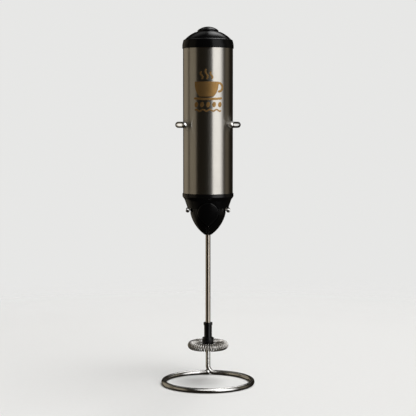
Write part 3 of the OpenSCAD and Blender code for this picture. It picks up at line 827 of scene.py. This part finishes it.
def round_ended(u, v, width):
    """Half width of a stroke with round ends: width sqrt(1 - (1 - s / width)^2) near an end."""
    step = np.hypot(np.diff(u), np.diff(v))
    s = np.concatenate([[0], np.cumsum(step)])
    near = np.minimum(s, s[-1] - s)
    return width * np.sqrt(np.clip(1 - np.clip(1 - near / width, 0, 1) ** 2, 0.01, 1))


def cup_strokes():
    """Middle lines (u, v) and half widths of the strokes that make the cup, in millimetres.

    The body is one upright stroke of half width 8.1 sqrt(1 - (0.86 t)^2.4), the handle an arc, the
    saucer a shallow parabola and the wave a sine. Three lines of steam swing once each, and five
    leaning ellipses are the beans. The points of a line crowd at its ends by (1 - cos pi t) / 2.
    """
    t = np.linspace(0, 1, 40)
    ease = (1 - np.cos(math.pi * t)) / 2
    body = (0 * t - 1.0, 5.0 - 9.8 * t, 8.1 * np.sqrt(1 - (0.86 * t) ** 2.4))
    a = np.radians(-105 + 210 * ease)
    handle = (7.2 + 2.7 * np.cos(a), 1.3 + 2.7 * np.sin(a))
    saucer = (-9.6 + 19.2 * ease, -6.3 + 0.5 * (2 * ease - 1) ** 2)
    wave = (-9.0 + 18.0 * ease, -13.6 + 0.55 * np.sin(4 * TAU * ease))
    lines = [(handle, 0.75), (saucer, 0.75), (wave, 0.5)]
    for u, low, high in ((-4.2, 6.6, 11.4), (-1.0, 6.6, 13.2), (2.2, 6.6, 11.4)):
        lines.append(((u + 0.75 * np.sin(TAU * ease), low + (high - low) * ease), 0.6))
    strokes = [body] + [(u, v, round_ended(u, v, w)) for (u, v), w in lines]
    for middle in np.linspace(-8.0, 8.0, 5):
        lean = 0.35 * (2 * ease - 1)
        strokes.append((middle + lean, -9.9 + 1.75 * (2 * ease - 1),
                        1.25 * np.sqrt(np.clip(1 - (2 * ease - 1) ** 2, 0.003, 1))))
    return strokes


class FROTHER_OT_emblem(bpy.types.Operator):
    """Print a steaming cup on the front of the tube"""
    bl_idname = "frother.emblem"
    bl_label = "Printed cup"

    def execute(self, context):
        s = sizes("emblem")
        tube, axis = node_radius("handle_tube"), node_axis("handle_tube")
        grids = [(stroke(u * s.scale, v * s.scale, w * s.scale, tube, axis, s.height / MM,
                         s.lift / MM), False) for u, v, w in cup_strokes()]
        obj = solid("printed_cup", *grids)
        finish_piece(obj, "sleeve", [], "bronze_print")
        return {"FINISHED"}


# ---------------------------------------------------------------- nose and tab

def drop_outline(top_z, point_z, top_r, point_r, count):
    """Outline (x, z) round two circles that share the upright line x = 0, and its tangents.

    The upper circle runs from angle -b to 180 + b, and the lower one through the rest, where
    sin b = (R - r) / d makes the straight sides touch both.
    """
    lean = math.asin((top_r - point_r) / (top_z - point_z))
    upper = np.linspace(-lean, math.pi + lean, int(count * 0.55))
    lower = np.linspace(math.pi + lean, TAU - lean, count // 6)
    big = np.stack([top_r * np.cos(upper), top_z + top_r * np.sin(upper)], -1)
    small = np.stack([point_r * np.cos(lower), point_z + point_r * np.sin(lower)], -1)
    left = count - len(upper) - len(lower)
    t = (np.arange(left // 2) + 1)[:, None] / (left // 2 + 1)
    down = big[-1] * (1 - t) + small[0] * t
    t = (np.arange(left - left // 2) + 1)[:, None] / (left - left // 2 + 1)
    up = small[-1] * (1 - t) + big[0] * t
    return np.concatenate([big, down, small, up])


def tab_places():
    """Heights of the tab's two circles: 2.7 under the ledge, and 7.2 over the nose's tip."""
    s = sizes("nose")
    tip = node_heights("nose_cone")[0]
    return tip + s.drop / MM - 2.7, tip + 7.2


def tab_prism(grow, axis, y0, y1, count=96):
    """Grid of an upright prism on the tab's outline, from y0 to y1 in front of the axis."""
    s = sizes("nose")
    top_z, point_z = tab_places()
    line = drop_outline(top_z, point_z, s.tab_r / MM + grow, s.tab_point_r / MM + grow, count)
    y = np.array([y0, y1])[:, None] * np.ones(count) + axis[1]
    return np.stack([line[:, 0] * np.ones((2, 1)) + axis[0], y, line[:, 1] * np.ones((2, 1))], -1)


def block_grid(low, high):
    """Grid of a block: its outline in plan, at two heights."""
    x = np.array([low[0], high[0], high[0], low[0]])
    y = np.array([low[1], low[1], high[1], high[1]])
    z = np.array([low[2], high[2]])[:, None] * np.ones(4)
    return np.stack([x * np.ones((2, 1)), y * np.ones((2, 1)), z], -1)


def pin_grid(start, end, radius, sides=32):
    """Grid of a plain pin between two points."""
    return swept(np.array([start, end], float), UP, radius, sides)


def cut_out(obj, grids):
    """Takes closed grids away from a piece, one after the other."""
    for grid in grids:
        cutter = solid("cutter", (grid, False))
        cut = obj.modifiers.new("cut", "BOOLEAN")
        cut.operation, cut.solver, cut.object = "DIFFERENCE", "EXACT", cutter
        apply_modifiers(obj)
        bpy.data.objects.remove(cutter)


def apply_modifiers(obj):
    """Replaces a piece's mesh by what its modifiers make of it."""
    depsgraph = bpy.context.evaluated_depsgraph_get()
    mesh = bpy.data.meshes.new_from_object(obj.evaluated_get(depsgraph))
    obj.modifiers.clear()
    obj.data = mesh


class FROTHER_OT_nose(bpy.types.Operator):
    """Build the black nose with its ledge, spigot and tab window"""
    bl_idname = "frother.nose"
    bl_label = "Nose"

    def execute(self, context):
        s = sizes("nose")
        tip, top = node_heights("nose_cone")
        rim, axis = node_radius("nose_cone"), node_axis("nose_cone")
        tube_z = node_heights("handle_tube")[0]
        ledge, seat = tip + s.drop / MM, tube_z - 0.02
        spigot, skirt, shaft = rim - 1.25, 14.15, node_radius("whisk_shaft") + 0.1
        belly_r, belly_x, belly_z = 24.47, -12.1, ledge + 1.95
        waist, flare = s.waist_r / MM, s.ledge_r / MM
        low = math.degrees(math.asin((tip - belly_z) / belly_r))
        high = -math.degrees(math.acos((waist - belly_x) / belly_r))
        belly = arc_line((belly_x, belly_z), belly_r, low, high, 28)
        well_r, well_floor, well_roof = 12.2, ledge + 3.6, ledge + 5.6
        bush_r, bush_foot, bush_top = 2.8, tip + 1.8, tip + 4.5
        corners = ([(shaft, tip, 0.1), (belly[0, 0], tip, 0.25)] + plain(belly[1:])
                   + [(waist, ledge, 0.2), (flare, ledge, 0.25), (flare + 1.95, ledge + 5.8, 0.9),
                      (rim - 0.2, ledge + 7.3, 0.25), (rim, ledge + 7.8, 0.2), (rim, seat, 0.12),
                      (spigot, seat, 0.0), (spigot, top, 0.3), (skirt, top, 0.2)]
                   + plain([(skirt, well_roof), (well_r, well_roof), (well_r, well_floor),
                            (10.0, ledge), (9.6, tip + 14.0), (4.0, bush_top), (bush_r, bush_top),
                            (bush_r, bush_foot), (shaft, bush_foot)]))
        obj = turned_solid("nose_shell", corners, axis, True, 1.2, 160)

        window_back, slot_half, slot_back, slot_front = -4.6, 3.35, 10.95, 14.0
        back = axis[1] - slot_back
        # The window round the tab, the opening in the spigot for the catch, the tongue's channel.
        grids = [tab_prism(s.tab_gap / MM, axis, -rim - 1, window_back),
                 block_grid((-slot_half, axis[1] - rim, tube_z + 1.2), (slot_half, back, top + 1)),
                 block_grid((-slot_half, axis[1] - slot_front, ledge + 1), (slot_half, back, top))]
        # On each side a screw hole: how deep it goes into the spigot, and its radius.
        screw_z = tube_z + 3.2
        head, pilot = (0.9, 1.7), (2.5, 0.9)
        for side in (-1, 1):
            for depth, radius in (head, pilot):
                grids.append(pin_grid((side * (spigot + 1), axis[1], screw_z),
                                      (side * (spigot - depth), axis[1], screw_z), radius))
        cut_out(obj, grids)
        bevel = obj.modifiers.new("soft_edges", "BEVEL")
        bevel.width, bevel.segments = 0.12 * MM, 2
        bevel.limit_method, bevel.angle_limit = "ANGLE", math.radians(50)
        apply_modifiers(obj)
        obj.data.set_sharp_from_angle(angle=math.radians(42))
        obj.data.materials.clear()
        finish_piece(obj, "chassis", ["nose_cone"], "satin_black_plastic")
        return {"FINISHED"}


def tab_face(x, z, axis):
    """How far forward the tab's face stands: on a circle whose radius follows an arc in z."""
    arc_r, arc_x, arc_z = 50.5, -35.4, 14.1
    ledge = node_heights("nose_cone")[0] + sizes("nose").drop / MM
    reach = arc_x + np.sqrt(arc_r ** 2 - (z - ledge - arc_z) ** 2)
    return axis[1] - np.sqrt(reach ** 2 - x ** 2)


class FROTHER_OT_release_tab(bpy.types.Operator):
    """Build the release tab with its tongue and catch"""
    bl_idname = "frother.release_tab"
    bl_label = "Release tab"

    def execute(self, context):
        s = sizes("nose")
        axis = node_axis("nose_cone")
        top_z, point_z = tab_places()
        big, small, edge = s.tab_r / MM, s.tab_point_r / MM, s.tab_edge / MM
        wall, count, face_rows, edge_rows, back_rows, innermost = 2.2, 120, 21, 9, 11, 0.04
        middle = np.array([0, top_z - 1.5])

        def outline(inset):
            return drop_outline(top_z, point_z, big - inset, small - inset, count)

        core, outer = outline(edge), outline(0)
        face = [(middle + (core - middle) * part, 0)
                for part in np.linspace(innermost, 1, face_rows + 1)[:-1]]
        rounding = [(outline(edge * (1 - math.sin(a))), edge * (1 - math.cos(a)))
                    for a in np.linspace(0, math.pi / 2, edge_rows)]
        side = [(outer, d) for d in (edge + 0.15, (edge + wall) / 2, wall - 0.15, wall)]
        back = [(middle + (outer - middle) * part, wall)
                for part in np.linspace(1, innermost, back_rows + 1)[1:]]
        rings, depth = zip(*face, *rounding, *side, *back)
        x, z = np.moveaxis(np.array(rings), -1, 0)
        y = tab_face(x, z, axis) + np.array(depth)[:, None]
        button = np.stack([x + axis[0], y, z], -1)
        worn = np.zeros(len(rings))
        worn[face_rows:face_rows + edge_rows] = 0.8

        top = node_heights("release_tab")[1]
        tongue_foot, catch_foot = node_heights("nose_cone")[0] + s.drop / MM + 2.2, top - 1.6
        tongue_y, catch_y = axis[1] - 12.85, axis[1] - 14.45
        tongue = rounded_bar((0, tongue_y), (3.0, 0.35), tongue_foot, top)
        catch = rounded_bar((0, catch_y), (2.0, 1.35), catch_foot, top)
        obj = solid("release_button", (button, False), (tongue, False), (catch, False),
                    edges=[worn, None, None])
        finish_piece(obj, "latch", ["release_tab"], "satin_black_plastic")
        return {"FINISHED"}


def rounded_bar(middle, half, foot, top, edge=0.2, count=48):
    """Grid of an upright bar: the rounded oblong |x / a|^8 + |y / b|^8 = 1, drawn in at its ends."""
    a = np.arange(count) * TAU / count
    c, s = np.cos(a), np.sin(a)
    swell = (np.abs(c) ** 8 + np.abs(s) ** 8) ** (-1 / 8)
    z = np.array([foot, foot + edge * 0.3, foot + edge, top - edge, top - edge * 0.3, top])
    inset = np.array([edge, edge * 0.3, 0, 0, edge * 0.3, edge])[:, None]
    x = middle[0] + (half[0] - inset) * swell * c
    y = middle[1] + (half[1] - inset) * swell * s
    return np.stack([x, y, z[:, None] * np.ones(count)], -1)


# ---------------------------------------------------------------- whisk

class FROTHER_OT_shaft(bpy.types.Operator):
    """Build the whisk's shaft and the black socket on its end"""
    bl_idname = "frother.shaft"
    bl_label = "Shaft and socket"

    def execute(self, context):
        axis = node_axis("whisk_shaft")
        foot, top = node_heights("whisk_shaft")
        shaft = node_radius("whisk_shaft")
        corners = [(0, top, 0.0), (shaft, top, 0.3), (shaft, foot, 0.3), (0, foot, 0.0)]
        obj = turned_solid("shaft_rod", corners, axis, False, 2.5, 64)
        finish_piece(obj, "rotor", ["whisk_shaft"], "ground_rod")

        low, high = node_heights("whisk_hub")
        hub = sizes("whisk").hub_r / MM
        collar, groove, foot_r = hub + 0.35, hub - 0.3, node_radius("whisk_hub")
        bore, depth, ledge = shaft + 0.01, high - 8.0, low + 6.5
        groove_z, collar_z = high - 2.2, high - 1.9
        corners = [(0, low, 0.0), (foot_r, low, 0.5), (foot_r, ledge, 0.35), (hub, ledge, 0.15),
                   (hub, groove_z, 0.12), (groove, groove_z, 0.05), (groove, collar_z, 0.05),
                   (collar, collar_z, 0.15), (collar, high, 0.2), (bore, high, 0.1),
                   (bore, depth, 0.0), (0, depth, 0.0)]
        obj = turned_solid("whisk_socket", corners, axis, False, 1.5, 72)
        finish_piece(obj, "rotor", ["whisk_hub"], "satin_black_plastic")
        return {"FINISHED"}


def coil_path(s, middle, hoop, turn_r):
    """Middle line of the coil, and the vectors across it.

    With a going once round the hoop, the wire stands at hoop radius out plus turn_r (cos w, sin w)
    in the upright plane through a. The turning w gains less near the two spokes, by
    1 - slack exp(-(d / 4.5 degrees)^2) at the angle d from one, and adds up to whole turns.
    """
    steps_a_turn = 26
    count = 2 * s.turns * steps_a_turn
    a = np.arange(count) * TAU / count
    from_spoke = np.abs((a + math.pi / 2) % math.pi - math.pi / 2)
    rate = 1 - s.slack * np.exp(-(from_spoke / math.radians(4.5)) ** 2)
    w = (np.cumsum(rate) - rate / 2 - rate[0] / 2) * TAU * 2 * s.turns / rate.sum()
    out = level(a)
    across = out * np.cos(w)[:, None] + UP * np.sin(w)[:, None]
    return middle + out * hoop + across * turn_r, across


class FROTHER_OT_whisk(bpy.types.Operator):
    """Build the whisk's hoop, its spokes and the coil wound round it"""
    bl_idname = "frother.whisk"
    bl_label = "Whisk"

    def execute(self, context):
        s = sizes("whisk")
        low, high = node_box("whisk_hoop")
        middle, wire = (low + high) / 2, s.hoop_wire_r / MM
        hoop = (high[0] - low[0]) / 2 - wire
        a = np.arange(160) * TAU / 160
        ring = middle + hoop * level(a)
        x = np.linspace(-hoop, hoop, 12)[:, None]
        spokes = middle + x * np.array([1, 0, 0])
        obj = solid("whisk_ring", (swept(ring, UP, wire, 16, loop=True), True),
                    (swept(spokes, UP, wire * 0.98, 16), False))
        finish_piece(obj, "rotor", ["whisk_hoop"], "whisk_wire")

        thick = s.coil_wire_r / MM
        foot, top = node_heights("whisk_coil")
        turn_r = (top - foot) / 2 - thick
        path, across = coil_path(s, middle, hoop, turn_r)
        obj = solid("whisk_spring", (swept(path, across, thick, 10, loop=True), True))
        finish_piece(obj, "rotor", ["whisk_coil"], "whisk_wire")
        return {"FINISHED"}


# ---------------------------------------------------------------- inside

BAND_FROM = 0.72
CELL_DARK, CELL_GOLD, BARE_STEEL = (0.02, 0.02, 0.022), (0.55, 0.33, 0.08), (0.55, 0.55, 0.54)


def bare(tree, where, normal):
    """1 on the flat ends of a cell, 0 on its sleeve."""
    upright, flat_from = math_node(tree, "ABSOLUTE", height_of(tree, normal)), 0.7
    return math_node(tree, "GREATER_THAN", upright, flat_from)


def cell(node, up):
    """Look of a cell: a gold band at its positive end, a dark body and bare steel ends."""
    foot, top = (z * MM for z in node_heights(node))
    first, last = (0.0, 1.0) if up else (1.0, 0.0)

    def sleeve(tree, where, normal):
        share = put(tree, "ShaderNodeMapRange",
                    {"Value": height_of(tree, where), "From Min": foot, "From Max": top,
                     "To Min": first, "To Max": last}).outputs[0]
        band = math_node(tree, "GREATER_THAN", share, BAND_FROM)
        body = blend_colour(tree, band, rgba(CELL_DARK), rgba(CELL_GOLD))
        return blend_colour(tree, bare(tree, where, normal), body, rgba(BARE_STEEL))

    return dict(colour=CELL_DARK, roughness=0.3, colour_socket=sleeve, metallic_socket=bare)


def inner_finishes():
    """Finishes of the CAD nodes that keep their own mesh."""
    nickel = dict(colour=(0.62, 0.60, 0.55), metallic=1.0, roughness=0.28, smudge=0.15,
                  streaks=(300, 300, 3000), streak_rough=0.1, streak_tint=0.15)
    brass = dict(colour=(0.55, 0.34, 0.16), metallic=1.0, roughness=0.35, smudge=0.2)
    can = dict(colour=(0.50, 0.50, 0.49), metallic=1.0, roughness=0.33, smudge=0.15,
               streaks=(80, 80, 3500), streak_rough=0.15, streak_tint=0.2, streak_bump=2e-6)
    dull = dict(colour=(0.16, 0.16, 0.17), metallic=0.8, roughness=0.5, grain=6e-6,
                grain_scale=1500.0)
    return {
        "carrier_plastic": (dict(colour=(0.020, 0.020, 0.022), roughness=0.42, grain=8e-6,
                                 specular=0.4), ["battery_carrier", "motor_plate"]),
        "nickel": (nickel, ["bridge_contact", "switch_contact", "negative_contact", "motor_strip",
                            "switch_pins"]),
        "spring_wire": (dict(nickel, roughness=0.22), ["bridge_spring", "negative_spring",
                                                       "switch_spring"]),
        "switch_shell": (dict(colour=(0.03, 0.09, 0.26), roughness=0.4, grain=5e-6),
                         ["switch_body"]),
        "ivory_plastic": (dict(colour=(0.72, 0.71, 0.66), roughness=0.38, grain=5e-6),
                          ["switch_plunger", "motor_end_cap", "shaft_coupling"]),
        "motor_shell": (can, ["motor_can"]),
        "magnet_grey": (dull, ["motor_magnets", "rotor_core"]),
        "sintered_bronze": (brass, ["motor_bushings", "shaft_bush", "motor_brushes",
                                    "commutator"]),
        "copper_wire": (dict(colour=(0.62, 0.24, 0.10), metallic=1.0, roughness=0.3,
                             streaks=(200, 200, 5000), streak_tint=0.5, streak_bump=2e-5),
                        ["rotor_windings"]),
        "screw_metal": (dict(can, roughness=0.3), ["motor_screws", "nose_screws"]),
        "motor_rod": (dict(nickel, roughness=0.18), ["motor_shaft"]),
        "gold_cell": (cell("battery_left", True), ["battery_left"]),
        "dark_cell": (cell("battery_right", False), ["battery_right"]),
    }


class FROTHER_OT_inside(bpy.types.Operator):
    """Give the parts inside the handle their finishes"""
    bl_idname = "frother.inside"
    bl_label = "Parts inside"

    def execute(self, context):
        for name, (values, nodes) in inner_finishes().items():
            material = surface(name, **values)
            for node in nodes:
                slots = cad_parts[node].data.materials
                slots.clear()
                slots.append(material)
        return {"FINISHED"}


# ---------------------------------------------------------------- stage

FRAME_WIDTH = 36.0
NEUTRAL, WARM = (1.0, 1.0, 1.0), (1.0, 0.88, 0.68)
CLIP_PIECES = ("tube_clip", "nose_clip")
WIRE_PIECES = ("base_and_post", "foot_bead", "tube_clip", "nose_clip", "whisk_spring")


def light_panels(s):
    """The panels: left, right, bottom, top, softness of the edges, colour and strength.

    The softness is that of the left edge, of the right edge and of the other two. Angles are in
    degrees. Azimuth 0 lies behind the camera and grows to its right.
    """
    return [
        (21.5, 69, -25, 46, 6, 26, 16, NEUTRAL, s.key),
        (-150, -104.5, -30, 30, 10, 5, 16, WARM, s.side),
        (-96.5, -57, -30, 30, 5, 8, 16, WARM, s.side),
        (86, 113, -20, 50, 6, 20, 14, WARM, 0.45 * s.side),
        (148, 176, 40, 66, 16, 16, 14, NEUTRAL, 1.9 * s.key),
        (-176, -140, 40, 60, 16, 16, 14, NEUTRAL, 0.2 * s.key),
        (8, 80, 55, 85, 16, 20, 12, NEUTRAL, 0.8 * s.key),
    ]


def studio_light(s):
    """World: a dark room with soft panels, and the plain backdrop where it is looked at."""
    world = bpy.data.worlds.new("studio")
    world.use_nodes = True
    tree = world.node_tree
    tree.nodes.clear()
    towards = put(tree, "ShaderNodeTexCoord").outputs["Generated"]
    xyz = put(tree, "ShaderNodeSeparateXYZ", {0: towards}).outputs
    azimuth = math_node(tree, "ARCTAN2", xyz["X"], times(tree, xyz["Y"], -1.0))
    elevation = math_node(tree, "ARCSINE", xyz["Z"])
    total = put(tree, "ShaderNodeCombineXYZ", dict(zip("XYZ", s.room))).outputs[0]
    edges = ("Left", "Right", "Bottom", "Top", "Left Edge", "Right Edge", "Rim")
    for *angles, tint, strength in light_panels(s):
        inputs = {"Azimuth": azimuth, "Elevation": elevation, "Colour": tint, "Strength": strength,
                  **dict(zip(edges, map(math.radians, angles)))}
        panel = effect(tree, "light_panel", inputs)
        total = put(tree, "ShaderNodeVectorMath", {0: total, 1: panel}, operation="ADD").outputs[0]
    room = put(tree, "ShaderNodeBackground", {"Color": total, "Strength": 1.0})
    plain_back = put(tree, "ShaderNodeBackground", {"Color": rgba(s.backdrop), "Strength": 1.0})
    seen = put(tree, "ShaderNodeLightPath").outputs["Is Camera Ray"]
    mix = put(tree, "ShaderNodeMixShader", {0: seen, 1: room.outputs[0], 2: plain_back.outputs[0]})
    put(tree, "ShaderNodeOutputWorld", {"Surface": mix.outputs[0]})
    bpy.context.scene.world = world


def floor_material(s):
    """Pale floor that fades out to the backdrop."""
    material = bpy.data.materials.new("pale_floor")
    material.use_nodes = True
    tree = material.node_tree
    tree.nodes.clear()
    where = put(tree, "ShaderNodeTexCoord").outputs["Object"]
    away = put(tree, "ShaderNodeVectorMath", {0: where}, operation="LENGTH").outputs["Value"]
    fade = put(tree, "ShaderNodeMapRange", {"Value": away, "From Min": 0.3 * s.floor_r,
                                            "From Max": 0.97 * s.floor_r, "To Min": 1.0,
                                            "To Max": 0.0}, interpolation_type="SMOOTHERSTEP")
    tone = blend_colour(tree, noise(tree, where, 400.0, 3.0), rgba([c * 0.98 for c in s.floor]),
                        rgba([min(1.0, c * 1.02) for c in s.floor]))
    matt = put(tree, "ShaderNodeBsdfDiffuse", {"Color": tone})
    clear = put(tree, "ShaderNodeBsdfTransparent")
    inside = put(tree, "ShaderNodeNewGeometry").outputs["Backfacing"]
    cover = times(tree, fade.outputs[0], math_node(tree, "SUBTRACT", 1.0, inside))
    mix = put(tree, "ShaderNodeMixShader", {0: cover, 1: clear.outputs[0], 2: matt.outputs[0]})
    put(tree, "ShaderNodeOutputMaterial", {"Surface": mix.outputs[0]})
    return material


def soft_lamps(s, floor):
    """The lamps: name, place, target, size, power and the pieces that each one lights."""
    wires = [bpy.data.objects[name] for name in WIRE_PIECES]
    clips = [bpy.data.objects[name] for name in CLIP_PIECES]
    return [
        ("overhead", (0.75, 0.0, 3.0), (0, 0, 0), (2.6, 2.6), s.overhead, [floor]),
        ("wire_light", (0.13, -0.50, 0.50), (0, 0.03, 0.05), (1.0, 0.75), s.wire_light, wires),
    ] + [("clip_light", (0.45 * side, 0.21, 0.17), (0, 0, 0.17), (0.42, 0.4), s.clip_light, clips)
         for side in (-1, 1)]


def soft_lamp(name, place, target, size, power, lit):
    """An oval lamp at a place, turned to a target, that lights only the given objects."""
    data = bpy.data.lights.new(name, "AREA")
    data.shape, (data.size, data.size_y), data.energy = "ELLIPSE", size, power
    lamp = bpy.data.objects.new(name, data)
    lamp.location = place
    lamp.rotation_euler = Vector(np.subtract(target, place)).to_track_quat("-Z", "Y").to_euler()
    lamp.visible_camera = False
    bpy.context.scene.collection.objects.link(lamp)
    only = bpy.data.collections.new(name)
    for obj in lit:
        only.objects.link(obj)
    lamp.light_linking.receiver_collection = only


class FROTHER_OT_stage(bpy.types.Operator):
    """Set up the floor, the lights and the camera"""
    bl_idname = "frother.stage"
    bl_label = "Floor, lights and camera"

    def execute(self, context):
        s = sizes("stage")
        face_z, thickness = -0.05, 1.0
        radius = np.linspace(0, s.floor_r / MM, 30)[1:, None]
        grid = radius[..., None] * level(np.arange(96) * TAU / 96) + face_z * UP
        floor = solid("floor", (np.concatenate([grid, grid[-1:] - thickness * UP]), False))
        floor.data.materials.append(floor_material(s))
        floor.visible_glossy = floor.visible_diffuse = False
        studio_light(s)
        for lamp in soft_lamps(s, floor):
            soft_lamp(*lamp)

        camera = bpy.data.cameras.new("camera")
        camera.lens, camera.sensor_width = s.lens, FRAME_WIDTH
        camera.clip_start, camera.clip_end = 0.01, 20.0
        view = bpy.data.objects.new("camera", camera)
        axis = node_axis("handle_tube")
        view.location = (axis[0] * MM, axis[1] * MM - s.distance, s.camera_z)
        view.rotation_euler = (math.pi / 2 - s.tilt, 0, 0)
        context.scene.collection.objects.link(view)
        context.scene.camera = view
        context.scene.view_settings.view_transform = "Standard"
        return {"FINISHED"}


# ---------------------------------------------------------------- add-on

class FROTHER_PT_panel(bpy.types.Panel):
    """Lists the steps that build the frother"""
    bl_idname = "FROTHER_PT_panel"
    bl_label = "Milk frother"
    bl_space_type = "VIEW_3D"
    bl_region_type = "UI"
    bl_category = "Frother"

    def draw(self, context):
        for step in STEPS:
            self.layout.operator(step.bl_idname)
        for name in SETTINGS:
            box = self.layout.box()
            group = sizes(name)
            for key in group.__annotations__:
                box.prop(group, key)


STEPS = (FROTHER_OT_stand, FROTHER_OT_clips, FROTHER_OT_tube, FROTHER_OT_cap, FROTHER_OT_button,
         FROTHER_OT_emblem, FROTHER_OT_nose, FROTHER_OT_release_tab, FROTHER_OT_shaft,
         FROTHER_OT_whisk, FROTHER_OT_inside, FROTHER_OT_stage)
SETTINGS = {"stand": StandSizes, "handle": HandleSizes, "nose": NoseSizes, "emblem": EmblemSizes,
            "whisk": WhiskSizes, "finishes": Finishes, "stage": StageSettings}


def register():
    """Registers the settings, the steps and the panel."""
    for name, group in SETTINGS.items():
        bpy.utils.register_class(group)
        setattr(bpy.types.Scene, "frother_" + name, PointerProperty(type=group))
    for item in STEPS + (FROTHER_PT_panel,):
        bpy.utils.register_class(item)


def unregister():
    """Takes away what register added."""
    for item in (FROTHER_PT_panel,) + STEPS[::-1]:
        bpy.utils.unregister_class(item)
    for name, group in SETTINGS.items():
        delattr(bpy.types.Scene, "frother_" + name)
        bpy.utils.unregister_class(group)


def main():
    """Registers the add-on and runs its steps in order."""
    register()
    for step in STEPS:
        family, name = step.bl_idname.split(".")
        getattr(getattr(bpy.ops, family), name)()


if __name__ == "__main__":
    main()
